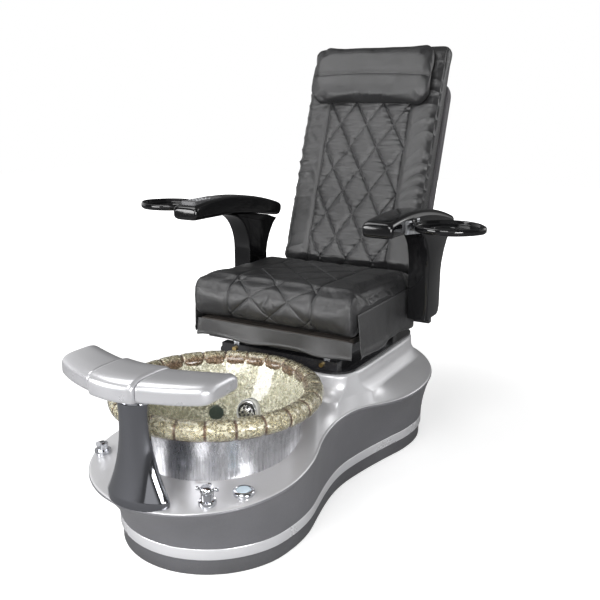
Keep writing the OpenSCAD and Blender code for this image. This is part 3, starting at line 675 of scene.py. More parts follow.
FINISH = {
    "plinth": painted_finish("plinth_paint", (0.10, 0.10, 0.108), (0.075, 0.075, 0.08), 0.2, 0.48, 0.0, 0.02),
    "pan": moulded_finish("pan_steel", (0.20, 0.21, 0.22)),
    "band": painted_finish("band_trim", (0.80, 0.80, 0.82), (0.70, 0.70, 0.72), 0.5, 0.26, 0.3, 0.02),
    "deck_paint": painted_finish("deck_silver", (0.62, 0.62, 0.635), (0.56, 0.56, 0.575), 0.4, 0.32, 0.25),
    # Tub sides: the deck's silver in a much darker copy, painted shade for the dark reflections on its upright
    # faces.
    "side_painted_shade": painted_finish("side_silver_painted_shade", (0.150, 0.150, 0.162), (0.120, 0.120, 0.130), 0.3, 0.38, 0.2,
                                 0.03),
    "skirt": brushed_finish("skirt_brushed", (0.74, 0.74, 0.77)),
    "basin_foil": foil_finish("basin_gold_foil", (0.68, 0.66, 0.50), (0.95, 0.93, 0.80), (0.42, 0.40, 0.27),
                              (0.26, 0.25, 0.16), 0.7),
    "rim_foil": foil_finish("rim_gold_foil", (0.50, 0.45, 0.29), (0.82, 0.78, 0.61), (0.36, 0.31, 0.19),
                            (0.12, 0.055, 0.03), 0.8, True),
    "copper_bead": painted_finish("copper_bead", (0.36, 0.17, 0.07), (0.26, 0.12, 0.05), 0.6, 0.3, 0.4, 0.02),
    "chrome": polished_finish("bright_chrome", (0.62, 0.63, 0.66), 0.05),
    "cover_chrome": polished_finish("cover_chrome", (0.80, 0.80, 0.80), 0.20),
    # Column: the chrome in a darker copy, painted shade for the dark surroundings it reflects.
    "column_chrome_painted_shade": polished_finish("column_chrome_painted_shade", (0.24, 0.245, 0.265), 0.035),
    "black_plastic": moulded_finish("black_moulding", (0.03, 0.03, 0.033), 0.45),
    "white_plastic": moulded_finish("white_moulding", (0.80, 0.80, 0.79), 0.32, 300.0, 0.00004),
    "lens": lens_finish(),
    "button_cap": polished_finish("pale_button", (0.62, 0.76, 0.86), 0.15, 0.0, 0.5),
    "steel": brushed_finish("zinc_steel", (0.46, 0.47, 0.49), 0.36),
    "footrest_paint": painted_finish("footrest_silver", (0.56, 0.56, 0.58), (0.50, 0.50, 0.52), 0.6, 0.27,
                                     0.45),
    "black_metal": polished_finish("black_enamel", (0.018, 0.018, 0.02), 0.22, 0.0, 0.4),
    "bolt_brass": polished_finish("bolt_brass", (0.78, 0.58, 0.26), 0.2),
    "board": board_finish(),
    "hide": hide_finish("charcoal_hide", (0.029, 0.029, 0.0302), (0.019, 0.019, 0.020), 0.34),
    "hide_flap": hide_finish("flap_hide", (0.045, 0.045, 0.046), (0.030, 0.030, 0.031), 0.40),
    "shell_plastic": hide_finish("shell_hide", (0.060, 0.056, 0.062), (0.042, 0.039, 0.044), 0.5),
    "roller": moulded_finish("roller_rubber", (0.45, 0.42, 0.36), 0.6),
    "gloss_black": polished_finish("gloss_black", (0.004, 0.004, 0.0045), 0.07, 0.0, 0.0, 4.0),
    "handset": moulded_finish("handset_moulding", (0.09, 0.09, 0.095), 0.35, 500.0, 0.00005),
    "keys": moulded_finish("soft_keys", (0.50, 0.51, 0.53), 0.5),
}


# ---------- base ----------

def arc_points(centre_x, centre_y, radius, start, stop, count):
    """Points on a circle from one angle towards another, in degrees, without the last one."""
    t = np.radians(start + (stop - start) * np.arange(count) / count)
    return np.column_stack([centre_x + radius * np.cos(t), centre_y + radius * np.sin(t)])


def waisted_outline(front_r, front_y, rear_r, rear_y, waist):
    """Outline of the base: a round front and a round rear, joined by hollow arcs that touch both circles and
    the waist."""
    count = 60
    p, q = front_r - waist, rear_r - waist
    a, b = q - p, -2 * (q * front_y - p * rear_y)
    c = q * front_y ** 2 - p * rear_y ** 2 - q * p * p + p * q * q
    narrow = -c / b if abs(a) < 1e-6 else (-b + math.sqrt(b * b - 4 * a * c)) / (2 * a)
    centre = ((narrow - front_y) ** 2 - p * p) / (2 * p)
    hollow = centre - waist
    front_turn = math.degrees(math.atan2(narrow - front_y, centre))
    rear_turn = math.degrees(math.atan2(rear_y - narrow, centre))
    return np.concatenate([
        arc_points(0, front_y, front_r, 180 - front_turn, 360 + front_turn, count),
        arc_points(centre, narrow, hollow, 180 + front_turn, 180 - rear_turn, count),
        arc_points(0, rear_y, rear_r, -rear_turn, 180 + rear_turn, count),
        arc_points(-centre, narrow, hollow, rear_turn, -front_turn, count)])


def waist_shaped(outline, gather, shift):
    """Shapes the waist along Y: points within 0.42 m draw towards it by a sine, and points near it slide to
    the rear by a squared cosine."""
    y = outline[:, 1]
    away = y + 0.010
    y = y - np.sign(away) * gather * np.sin(math.pi * np.minimum(np.abs(away) / 0.42, 1))
    slide = shift * np.cos(np.clip((y + 0.13) / 0.33, -1, 1) * math.pi / 2) ** 2
    return np.column_stack([outline[:, 0], y + slide])


def evenly_spaced(outline):
    """The closed outline with its points spread evenly along its length."""
    closed = np.vstack([outline, outline[:1]])
    along = np.concatenate([[0], np.cumsum(np.linalg.norm(np.diff(closed, axis=0), axis=1))])
    wanted = np.linspace(0, along[-1], 300, endpoint=False)
    return np.column_stack([np.interp(wanted, along, closed[:, 0]), np.interp(wanted, along, closed[:, 1])])


def plinth_outline(grow):
    """Outline of the kick plinth, moved outwards."""
    outline = waisted_outline(0.263 + grow, -0.352, 0.284 + grow, 0.430, 0.213 + grow)
    return evenly_spaced(waist_shaped(outline, 0.045, 0.0))


def tub_outline(s, inset=0.0):
    """Outline of the tub from the band (0) to the deck's edge (1): all radii and centres run in step."""
    outline = waisted_outline(0.269 + 0.036 * s - inset, -0.352 - 0.056 * s, 0.290 + 0.082 * s - inset,
                              0.430 - 0.145 * s, 0.219 + 0.024 * s - inset)
    return waist_shaped(outline, 0.045 * (1 - s), 0.060 * s)


def edge_height(y):
    """Height of the deck's edge, rising evenly to the rear."""
    return 0.222 + (y + 0.735) * 0.058 / 1.015


def pedestal_points(outline, grow):
    """Where the pedestal's rounded outline (a superellipse of power 6) lies in each point's direction, at least
    12 mm inside the outline."""
    t = np.arctan2(outline[:, 1] - PEDESTAL_Y, outline[:, 0])
    r = ((np.abs(np.cos(t)) / (0.254 + grow)) ** 6 + (np.abs(np.sin(t)) / (0.290 + grow)) ** 6) ** (-1 / 6)
    r = np.minimum(r, np.hypot(outline[:, 0], outline[:, 1] - PEDESTAL_Y) - 0.012)
    return np.column_stack([r * np.cos(t), PEDESTAL_Y + r * np.sin(t)])


def tub_shell():
    """Side: the outline grows with height s to the power 1.5. Lip: quarter round. Deck: straight run from the
    lip to the pedestal's foot, its height to the power 1.1. Wall: its foot flares with the cube of the height
    left. Points within the bath's hole move out to its edge."""
    lip_round, lip_inset, foot_z, wall = 0.008, 0.007, 0.304, 0.064
    lip = tub_outline(1.0, lip_inset)
    low = edge_height(tub_outline(1.0)[:, 1])
    rings = [along_z(tub_outline(0.0, lip_inset), BAND_TOP - 0.008)]
    for s in np.linspace(0, 1, 26):
        outline = tub_outline(s ** 1.5)
        rings.append(along_z(outline, BAND_TOP + (edge_height(outline[:, 1]) - lip_round - BAND_TOP) * s))
    side_rows = len(rings) + 2
    for a in np.linspace(0, math.pi / 2, 8)[1:]:
        edge = tub_outline(1.0, lip_inset * (1 - math.cos(a)))
        rings.append(along_z(edge, low - lip_round * (1 - math.sin(a))))
    foot = pedestal_points(lip, 0.026)
    for u in np.linspace(0, 1, 46)[1:]:
        rings.append(along_z(lip + (foot - lip) * u, low + (foot_z - low) * u ** 1.1))
    for t in np.linspace(0, 1, 14)[1:]:
        rings.append(along_z(pedestal_points(lip, 0.001 + 0.025 * (1 - t) ** 3), foot_z + wall * t))
    for a in np.linspace(0, math.pi / 2, 7)[1:]:
        shoulder = pedestal_points(lip, 0.001 - 0.012 * (1 - math.cos(a)))
        rings.append(along_z(shoulder, foot_z + wall + 0.012 * math.sin(a)))
    rings.append(along_z(pedestal_points(lip, -0.060), PEDESTAL_TOP - 0.0002))
    rows, columns = np.shape(rings)[:2]
    flat = np.reshape(rings, (-1, 3))
    across = flat[:, :2] - np.array([0.0, BOWL_Y])
    reach = np.linalg.norm(across, axis=1)
    hole = SKIRT_R + 0.0002
    inside = (reach < hole) & (flat[:, 2] > 0.2)
    faces = np.array(grid_faces(rows, columns))
    kept = faces[~inside[faces].all(axis=1)]
    painted_shade_faces = kept[:, 0] // columns < side_rows
    outwards = across[inside] / np.maximum(reach[inside], 1e-6)[:, None]
    flat[inside, :2] = np.array([0.0, BOWL_Y]) + outwards * hole
    piece = piece_from("tub_shell", flat, kept)
    work = bmesh.new()
    work.from_mesh(piece.data)
    bmesh.ops.delete(work, geom=[v for v in work.verts if not v.link_faces], context="VERTS")
    work.to_mesh(piece.data)
    work.free()
    dress(piece, "base", "deck_paint", "tub_body")
    # The side faces get the dark copy of the deck's silver: painted shade on the tub's upright faces.
    piece.data.materials.append(FINISH["side_painted_shade"])
    piece.data.polygons.foreach_set("material_index", painted_shade_faces.astype(int).tolist())


def foot_of_base():
    """Kick plinth and bright band as smooth waisted plates."""
    plinth = rounded_plate("kick_plinth_skin", plinth_outline(0), 0.0, 0.0455, 0.003, along_z)
    dress(plinth, "base", "plinth", "kick_plinth")
    band = rounded_plate("bright_band_skin", plinth_outline(0.006), 0.045, BAND_TOP + 0.0005, 0.004, along_z)
    dress(band, "base", "band", "bright_band")


# ---------- foot bath ----------

def torus_points(centre, ring_r, tube_r, u, v):
    """Points of a circle v carried round a circle u."""
    return np.stack([centre[0] + (ring_r + tube_r * np.cos(v)) * np.cos(u),
                     centre[1] + (ring_r + tube_r * np.cos(v)) * np.sin(u),
                     centre[2] + tube_r * np.sin(v)], -1).reshape(-1, 3)


def scalloped_rim():
    """Torus round the bath in padded segments: the tube thins by 0.1 in a bell at each groove, the ring runs
    slightly straighter between grooves, and small crinkles lift it. A thin bead runs under it."""
    middle = (0, BOWL_Y, RIM_Z)
    u, v = np.meshgrid(circle(RIM_SEGMENTS * 20), circle(44), indexing="ij")
    share = (u * RIM_SEGMENTS / (2 * math.pi)) % 1.0
    off = np.abs(share - np.round(share)) * 2 * math.pi * RIM_R / RIM_SEGMENTS
    tube = RIM_TUBE * (0.95 + 0.05 * np.sin(math.pi * share) ** 0.6 - 0.10 * ridge(off, 0.0042))
    straighter = 1 - 0.005 * np.sin(math.pi * share) ** 2
    points = torus_points(middle, RIM_R * straighter, tube, u, v)
    out = points - torus_points(middle, RIM_R, 0, u, v)
    out /= np.linalg.norm(out, axis=1, keepdims=True)
    points = points + out * (0.0007 * soft_noise(points, 0.03, 5, 3) - 0.0004)[:, None]
    rim = looped_grid("rolled_rim", points, *u.shape)
    dress(rim, "base", "rim_foil", "basin_rim")
    u, v = np.meshgrid(circle(160), circle(16), indexing="ij")
    points = torus_points((0, BOWL_Y, RIM_Z - 0.0255), RIM_R - 0.004, 0.0042, u, v)
    dress(looped_grid("rim_bead", points, *u.shape), "base", "rim_foil", finish="copper_bead")


def turned(name, profile, place, axis=(0, 0, 1), count=64):
    """Body of revolution: (radius, height) pairs swept round an axis through a place, as rings in order."""
    axis, side, other = axes_about(axis)
    a = circle(count)[:, None]
    rings = [np.asarray(place) + axis * h + r * (np.cos(a) * side + np.sin(a) * other) for r, h in profile]
    return crease_by_angle(ring_stack(name, rings), 35)


def axes_about(axis):
    """The axis at unit length, and two directions square to it."""
    axis = np.asarray(axis, float) / np.linalg.norm(axis)
    side = np.cross(axis, (0.0, 0.0, 1.0) if abs(axis[2]) < 0.9 else (1.0, 0.0, 0.0))
    side /= np.linalg.norm(side)
    return axis, side, np.cross(axis, side)


def jet_fitting():
    """Collar: a rounded ring that stands off the bath wall. Cover: a low dome with two rings of round dark
    discs set in it as its holes, painted shade for their depth."""
    collar = [(0.0330, -0.020), (0.0400, -0.020), (0.0398, 0.002), (0.0388, 0.0060), (0.0372, 0.0080),
              (0.0352, 0.0084), (0.0338, 0.0072), (0.0334, 0.004)]
    dress(turned("jet_collar_ring", collar, JET_AT, JET_AXIS), "base", "white_plastic", "jet_collar")
    dome = [(0.0328 * math.cos(t), 0.0050 + 0.0085 * math.sin(t)) for t in np.linspace(0, 1.45, 12)]
    cover = turned("jet_cover_dome", [(0.0322, -0.004)] + dome + [(0.0008, 0.0135)], JET_AT, JET_AXIS, 96)
    axis, side, other = axes_about(JET_AXIS)
    hole = 0.0042
    rows = ((0.0240, 11, 0.0094, 0.0113), (0.0130, 6, 0.0112, 0.0132))
    for ring, (reach, count, low, high) in enumerate(rows):
        for k in range(count):
            t = 2 * math.pi * k / count + 0.3 * ring
            spot = JET_AT + reach * (math.cos(t) * side + math.sin(t) * other)
            disc = turned("jet_hole_%d_%d" % (ring, k), [(hole, low), (hole, high)], spot, axis, 20)
            # Dark discs: painted shade where the cover's holes are.
            dress(disc, "base", "black_plastic")
    dress(cover, "base", "chrome", "jet_cover", finish="cover_chrome")


def deck_fittings():
    """Air button: a broad low ring with a pale cap. Water valve: a collar, a head and four knobbed spokes."""
    ring = [(0.0194, -0.004), (0.0270, -0.004), (0.0285, 0.001), (0.0280, 0.005), (0.0250, 0.0085),
            (0.0215, 0.0095), (0.0200, 0.0080), (0.0196, 0.0010)]
    dress(turned("button_ring", ring, BUTTON_AT), "base", "chrome", "button_bezel")
    cap = [(0.0100, 0.0060), (0.0188, 0.0060), (0.0188, 0.0075), (0.0165, 0.0092), (0.0100, 0.0088),
           (0.0010, 0.0084)]
    dress(turned("button_top", cap, BUTTON_AT), "button", "button_cap", "air_button")
    collar = [(0.0120, -0.010), (0.0215, -0.010), (0.0225, -0.002), (0.0205, 0.003), (0.0165, 0.005),
              (0.0155, 0.0200), (0.0140, 0.0215), (0.0080, 0.0215)]
    dress(turned("valve_collar", collar, VALVE_AT), "base", "chrome", "valve_body")
    head = [(0.0080, 0.0225), (0.0160, 0.0225), (0.0175, 0.0250), (0.0175, 0.0330), (0.0150, 0.0370),
            (0.0090, 0.0385), (0.0008, 0.0390)]
    dress(turned("valve_head", head, VALVE_AT), "valve", "chrome", "valve_handle")
    spoke = [(0.0036, 0.010), (0.0036, 0.0190), (0.0052, 0.0215), (0.0056, 0.0250), (0.0042, 0.0282),
             (0.0006, 0.0290)]
    hub = (VALVE_AT[0], VALVE_AT[1], 0.2665)
    for k in range(4):
        t = math.pi * k / 2 + 0.35
        way = (math.cos(t), math.sin(t), 0.12)
        dress(turned("valve_spoke_%d" % k, spoke, hub, way, 24), "valve", "chrome")


# ---------- footrest ----------

def chrome_column():
    """Pointed oval sections stacked up the column's axis: a broad foot, a slim neck and a slight collar. A
    ridge runs up each side."""
    a = circle(96)

    def section(t, height, inset=0.0):
        half_x = 0.040 + 0.056 * (1 - t) ** 2.4 + 0.005 * t ** 4 - inset
        half_y = 0.029 + 0.019 * (1 - t) ** 2.6 + 0.005 * t ** 4 - inset
        y = COLUMN_Y + half_y * bent(np.sin(a), 1.35)
        return np.column_stack([half_x * np.cos(a), y, np.full(len(a), height)])

    rings = [section(0.0, 0.222)]
    rings += [section(t, COLUMN_FOOT + (COLUMN_TOP - COLUMN_FOOT) * t) for t in np.linspace(0, 1, 60)[:-1]]
    rings.append(section(1.0, COLUMN_TOP, 0.002))
    # The column's chrome is a darker copy: painted shade for its dark reflections.
    dress(crease_by_angle(ring_stack("chrome_column", rings), 50), "base", "chrome", "footrest_column",
          finish="column_chrome_painted_shade")


def footrest_pad(name, node, x_low, x_high, round_low, round_high, proud):
    """Sections across the pad: its top is rounded (powers 0.52 across and 0.72 up), its underside flat (power
    0.30). The middle line bends back towards the footrest's ends. Each end draws in by a quarter round."""
    a = circle(72)
    top = np.sin(a) > 0
    rings = []
    for x in x_low + (x_high - x_low) * (1 - np.cos(np.linspace(0, math.pi, 44))) / 2:
        taper = (abs(x) / FOOTREST_HALF) ** 6
        draw = max(drawn_in(round_low, min((x - x_low) / round_low, 1.0)),
                   drawn_in(round_high, min((x_high - x) / round_high, 1.0)))
        half_y = 0.069 * (1 - 0.13 * taper) - draw + proud
        half_z = 0.027 * (1 - 0.12 * taper) - draw * 0.75 + proud * 0.55
        middle = COLUMN_Y - 0.012 + 0.078 * (abs(x) / FOOTREST_HALF) ** 1.7
        y = middle + half_y * bent(np.cos(a), np.where(top, 0.52, 0.30))
        z = FOOTREST_Z + half_z * bent(np.sin(a), np.where(top, 0.72, 0.30))
        rings.append(np.column_stack([np.full(len(a), x), y, z]))
    dress(crease_by_angle(ring_stack(name, rings), 60), "footrest", "footrest_paint", node)


# ---------- seat and back padding ----------

def drawn_together(points, middle, share):
    """The points, scaled by a share of their own along each axis about a middle."""
    return np.array(middle) + (points - middle) * np.array(share)


def soft_copy(name, node, local=False):
    """A merged copy of a frame solid, as the start of a padded piece."""
    piece = bpy.data.objects.new(name, frame["nodes"][node].data.copy())
    bpy.context.scene.collection.objects.link(piece)
    piece.data.materials.clear()
    face_outwards(piece)
    if local:
        set_points(piece, to_back(points_of(piece)))
    return piece


def lattice(across, along, width, height):
    """Distance to the nearest of two families of slanting quilting lines, width by height a diamond."""
    scale = math.sqrt(1 / width ** 2 + 1 / height ** 2)
    first = np.abs((across / width + along / height) % 1 - 0.5) / scale
    second = np.abs((across / width - along / height) % 1 - 0.5) / scale
    return np.minimum(first, second)


def seat_run(p):
    """Length along the seat's cover from under its nose, over the nose and back along the top."""
    bend_y, nose_r = SEAT_NOSE + 0.060, 0.066
    turn = np.arctan2(bend_y - p[:, 1], SEAT_MIDDLE - p[:, 2])
    nose = nose_r * np.clip(turn, 0, math.pi)
    return np.where(p[:, 1] < bend_y, nose, nose_r * math.pi + (p[:, 1] - bend_y))


def rounded_nose(p):
    """The cushion's points with its front end scaled, direction by direction, until it is a half round."""
    centre = np.array([SEAT_NOSE + 0.064, SEAT_MIDDLE])
    v = p[:, 1:] - centre
    turn, reach = np.arctan2(v[:, 1], -v[:, 0]), np.linalg.norm(v, axis=1)
    front = v[:, 0] < 0
    bins = np.linspace(-math.pi / 2, math.pi / 2, 46)
    middle = front & (np.abs(p[:, 0]) < 0.22)
    outer = np.zeros(45)
    np.maximum.at(outer, np.clip(np.digitize(turn[middle], bins) - 1, 0, 44), reach[middle])
    own = np.interp(turn, (bins[1:] + bins[:-1]) / 2, outer)
    half_round = np.interp(turn, [-0.7, 0.35], [0.068, 0.0665])
    opening = np.interp(turn, [-math.pi / 2, -0.7, 0.35, math.pi / 2], [1.0, 0.068, 0.0665, 1.0])
    ends = (np.abs(turn) / (math.pi / 2)) ** 4
    target = np.minimum(own, opening) * ends + (1 - ends) * half_round
    out = p.copy()
    out[:, 1:] = centre + v * np.where(front, target / np.maximum(own, 1e-4), 1.0)[:, None]
    return out


def seat_pad():
    """Seat cushion: swollen form with a round nose, then the quilted panel with its seams, the edge seam and
    wrinkles on the bolsters."""
    piece = soft_copy("seat_pad", "seat_cushion")
    set_points(piece, drawn_together(points_of(piece), (0.0, 0.170, SEAT_MIDDLE), (0.979, 0.977, 0.915)))
    eased(piece, 0.0075, 5)
    swollen(piece, 0.0062, 4.0, 0.010)
    set_points(piece, rounded_nose(points_of(piece)))
    subdivided(piece)
    p, n = points_of(piece), normals_of(piece)
    run = seat_run(p)
    x = np.abs(p[:, 0])
    covered = rise(p[:, 2], 0.503, 0.512) * (1 - rise(p[:, 1], 0.370, 0.385)) * (1 - rise(x, 0.278, 0.284))
    inside = 1 - rise(x, SEAT_PANEL - 0.002, SEAT_PANEL + 0.001)
    lines = lattice(p[:, 0], run, 0.1316, 0.132)
    lift = -inside * covered * (0.0030 * ridge(lines, 0.0022) + 0.0026 * ridge(lines, 0.012))
    lift += inside * covered * 0.0016
    seam = np.abs(x - SEAT_PANEL)
    lift -= covered * (0.0034 * ridge(seam, 0.0022) + 0.0022 * ridge(seam, 0.009))
    lift -= covered * 0.0008 * ridge(np.abs(x - SEAT_PANEL - 0.006), 0.0012)
    lift -= covered * 0.0012 * ridge(np.abs(x - 0.268), 0.0040)
    bolster = rise(x, SEAT_PANEL + 0.004, SEAT_PANEL + 0.03) * (1 - rise(x, 0.245, 0.262)) * covered
    lift += bolster * 0.0016 * soft_noise(np.column_stack([p[:, 0] * 0.5, run * 1.4, 0 * run]), 0.16, 11, 3)
    side = rise(x, 0.276, 0.282) * rise(p[:, 2], 0.505, 0.52)
    lift += side * 0.0005 * soft_noise(p, 0.12, 12, 3)
    p = p + n * lift[:, None]
    p[:, 2] = np.maximum(p[:, 2], SEAT_LOW + 0.0002)
    p[:, 1] = np.minimum(p[:, 1], SEAT_REAR)
    p[:, 0] = np.clip(p[:, 0], -SEAT_HALF - 0.0002, SEAT_HALF + 0.0002)
    set_points(piece, p)
    dress(piece, "seat", "hide", "seat_cushion")


def back_pad():
    """Back cushion: swollen form in the back's own frame, then the quilted panel with its puckers, its seams,
    the edge seam, and level folds across both bolsters."""
    piece = soft_copy("back_pad", "back_cushion", True)
    set_points(piece, drawn_together(points_of(piece), (0.0, 0.002, 0.483), (0.980, 0.84, 0.988)))
    eased(piece, 0.0080, 4)
    swollen(piece, 0.0068, 4.0, 0.008)
    subdivided(piece)
    p, n = points_of(piece), normals_of(piece)
    x, z = np.abs(p[:, 0]), p[:, 2]
    front = 1 - rise(p[:, 1], -0.022, -0.012)
    low = rise(z, 0.080, 0.095)
    inside = (1 - rise(x, BACK_PANEL - 0.002, BACK_PANEL + 0.001)) * front * low
    lines = lattice(p[:, 0], z - 0.02, 0.1033, 0.163)
    lift = -inside * (0.0036 * ridge(lines, 0.0024) + 0.0038 * ridge(lines, 0.013)) + inside * 0.0024
    seam = np.abs(x - BACK_PANEL)
    lift -= front * low * (0.0040 * ridge(seam, 0.0026) + 0.0034 * ridge(seam, 0.012))
    lift -= front * low * 0.0008 * ridge(np.abs(x - BACK_PANEL - 0.0065), 0.0013)
    bolster = rise(x, BACK_PANEL + 0.006, BACK_PANEL + 0.030) * (1 - rise(x, 0.252, 0.266)) * front
    warp = soft_noise(np.column_stack([p[:, 0], 0 * z, z * 0.6]), 0.22, 21, 2)
    place = z / 0.045 + 0.8 * warp + 0.20 * np.sin(p[:, 0] * 22)
    fold = 1 - 2 * np.abs(np.sin(math.pi * place)) ** 0.8
    strength = 0.25 + 0.75 * rise(z, 0.20, 0.36) * (1 - rise(z, 0.70, 0.80))
    patch = 0.5 + 0.5 * soft_noise(p, 0.15, 22, 2)
    lift += bolster * strength * (0.0034 * fold * patch + 0.0010 * soft_noise(p, 0.05, 23, 2))
    lift += inside * 0.0015 * soft_noise(np.column_stack([p[:, 0] * 0.6, 0 * z, z * 3]), 0.07, 24, 2)
    lift += front * (0.0012 * ridge(np.abs(x - 0.259), 0.003) - 0.0020 * ridge(np.abs(x - 0.2525), 0.0018))
    p = p + n * lift[:, None]
    p[:, 1] = np.minimum(p[:, 1], BACK_REAR)
    p[:, 0] = np.clip(p[:, 0], -BACK_HALF - 0.0005, BACK_HALF + 0.0005)
    set_points(piece, in_back(p))
    dress(piece, "back", "hide", "back_cushion")


def neck_pillow():
    """Head pillow: swollen form drawn out downwards, with a cross seam in front and a few pulls below it."""
    piece = soft_copy("neck_pillow", "head_pillow", True)
    p = drawn_together(points_of(piece), (0.0, -0.060, 0.790), (0.978, 0.90, 0.965))
    top, low = p[:, 2].max(), p[:, 2].min()
    p[:, 2] = top - (top - p[:, 2]) * (top - low + 0.052) / (top - low)
    set_points(piece, p)
    eased(piece, 0.0062, 7)
    swollen(piece, 0.0056, 4.0, 0.008)
    p, n = points_of(piece), normals_of(piece)
    x, z = np.abs(p[:, 0]), p[:, 2]
    front = 1 - rise(p[:, 1], -0.056, -0.048)
    seam = np.abs(z - 0.757 + 0.010 * (x / 0.234) ** 2)
    lift = -front * (1 - rise(x, 0.218, 0.226)) * (0.0034 * ridge(seam, 0.0024) + 0.0024 * ridge(seam, 0.010))
    pull = soft_noise(np.column_stack([p[:, 0], 0 * z, 0.25 * z]), 0.09, 31, 2)
    lift += front * 0.0014 * pull * ridge(z - 0.727, 0.045)
    lift += 0.0008 * soft_noise(p, 0.10, 32, 3)
    p = p + n * lift[:, None]
    p[:, 1] = np.minimum(p[:, 1], PILLOW_REAR)
    set_points(piece, in_back(p))
    dress(piece, "back", "hide", "head_pillow")


def hanging_flap(name, node, corner, across, outward, width, height, seed, lift, slack=1.0):
    """A flap hung from its top edge: out of plane by waves that grow with the drop, its lower hem a little
    wavy. Past its middle its looseness falls to the share slack."""
    columns, rows = 90, 22
    s, t = np.meshgrid(np.linspace(0, 1, columns), np.linspace(0, 1, rows), indexing="xy")
    flat = np.stack([s * width, t * height], -1).reshape(-1, 2)
    wave = soft_noise(np.column_stack([flat[:, 0], 0.25 * flat[:, 1], 0 * flat[:, 0]]), 0.22, seed, 2)
    fall = flat[:, 1] / height
    loose = slack + (1 - slack) * (1 - rise(flat[:, 0] / width, 0.42, 0.72))
    out = lift * loose * fall * (0.9 + 1.5 * wave + 0.5 * np.sin(flat[:, 0] * 26 + seed) * fall)
    out += lift * 0.30 * loose * ridge(fall - 0.92, 0.05)
    out = np.clip(out, 0, lift * loose * 1.9)
    drop = flat[:, 1] + 0.0030 * np.sin(flat[:, 0] * 24 + seed) * fall
    ways = np.array([across, (0, 0, -1), outward], float)
    points = np.asarray(corner) + np.column_stack([flat[:, 0], drop, out]) @ ways
    piece = piece_from(name, points, grid_faces(rows, columns, False))
    thick = piece.modifiers.new("thickness", "SOLIDIFY")
    thick.thickness = 0.0018
    thick.offset = 0
    dress(piece, "seat", "hide_flap", node)


# ---------- back shell, arms, trays ----------

def rear_shell():
    """Rear shell of the back: a rounded plate in the back's frame, with a raised panel."""
    outline = round_corners(box_outline(-0.256, 0.030, 0.256, SHELL_TOP), [0.045, 0.045, 0.062, 0.062], 10)
    shell = rounded_plate("rear_shell", outline, 0.0384, 0.084, 0.014, along_y, 7)
    outline = round_corners(box_outline(-0.205, 0.085, 0.205, 0.715), 0.045, 8)
    panel = rounded_plate("rear_panel", outline, 0.083, 0.0866, 0.003, along_y)
    for piece in (shell, panel):
        set_points(piece, in_back(points_of(piece)))
    dress(shell, "back", "shell_plastic", "back_shell")
    dress(panel, "back", "shell_plastic", finish="black_plastic")


def arm_top(y):
    """Height of the armrest's top at y: a gentle crown."""
    return 0.852 + 0.13 * y - 0.46 * y ** 2


def arm_under(y):
    """Height of the armrest's underside at y: nearly level, then dropping to the hinge."""
    return 0.803 - 0.0038 * (y + 0.032) / 0.222 if y < 0.19 else 0.7992 - 0.0392 * ((y - 0.19) / 0.28) ** 1.3


def arm_piece(name, node, side):
    """Armrest: rounded oblong sections (powers 0.40 and 0.46) from the front edge to the hinge, drawn in at
    both ends. The right one has the cradle of the handset cut into its top."""
    a = circle(56)
    middle, half = (ARM_INNER + ARM_OUTER) / 2, (ARM_OUTER - ARM_INNER) / 2
    rings = []
    for y in ARM_FRONT + (ARM_REAR - ARM_FRONT) * (1 - np.cos(np.linspace(0, math.pi, 60))) / 2:
        top, under = arm_top(y), arm_under(y) + max(y - ARM_PIVOT[0], 0) * 0.9
        near = min((y - ARM_FRONT) / 0.012, (ARM_REAR - y) / 0.026, 1.0)
        draw = drawn_in(0.012 if y < 0.2 else 0.026, near)
        x = middle + (half - draw * 0.7) * bent(np.cos(a), 0.40)
        z = (top + under) / 2 + ((top - under) / 2 - draw) * bent(np.sin(a), 0.46)
        rings.append(np.column_stack([side * x, np.full(len(a), y), z]))
    piece = ring_stack(name, rings)
    if side < 0:
        outline = round_corners(box_outline(-0.362, -0.014, -0.304, 0.138), 0.008)
        cut_away(piece, rounded_plate("cradle", outline, 0.842, 0.90, 0.0005, along_z))
    dress(crease_by_angle(piece, 50), "armrest_left" if side > 0 else "armrest_right", "gloss_black", node)


def arm_post(name, node, side):
    """Arm post: the side outline with its arch and a top that follows the armrest, as a plate with rounded
    rims. It keeps clear of the hinge, round which the armrest turns."""
    turn = np.radians(np.arange(0, 81, 5))
    arch = np.column_stack([0.172 + 0.118 * np.cos(turn), 0.662 + 0.134 * np.sin(turn)]).tolist()
    seat_line = [(y, arm_under(y) - 0.0006) for y in np.linspace(0.200, ARM_PIVOT[0] - 0.02, 8)]
    rear = [(ARM_PIVOT[0] + 0.004, 0.759), (0.448, 0.731), (0.425, 0.700), (0.408, 0.665), (0.402, 0.640)]
    leg = [(0.400, 0.520), (0.392, 0.500), (0.378, POST_FOOT)]
    front = [(0.290, POST_FOOT), (0.290, 0.560), (0.290, 0.640)]
    outline = np.array(front + arch + seat_line + rear + leg)
    near = np.maximum(0.0315 ** 2 - (outline[:, 0] - ARM_PIVOT[0]) ** 2, 0)
    outline[:, 1] = np.where(near > 0, np.minimum(outline[:, 1], ARM_PIVOT[1] - np.sqrt(near)), outline[:, 1])
    piece = rounded_plate(name, outline, POST_INNER, POST_OUTER, 0.0055,
                          lambda points, height: along_x(points, height) * np.array([side, 1, 1]))
    dress(piece, "seat", "gloss_black", node)


def tray_ring(inset, height, side):
    """Outline of the tray, drawn in by an inset: an oval whose outer end narrows."""
    a = circle(120)
    x = (0.104 - inset) * np.cos(a) + TRAY_AXIS[0] + 0.110
    y = TRAY_Y + (0.092 - inset) * np.sin(a) * (1 - 0.3 * np.maximum(0, np.cos(a)) ** 3)
    return np.column_stack([side * x, y, np.full(len(a), height)])


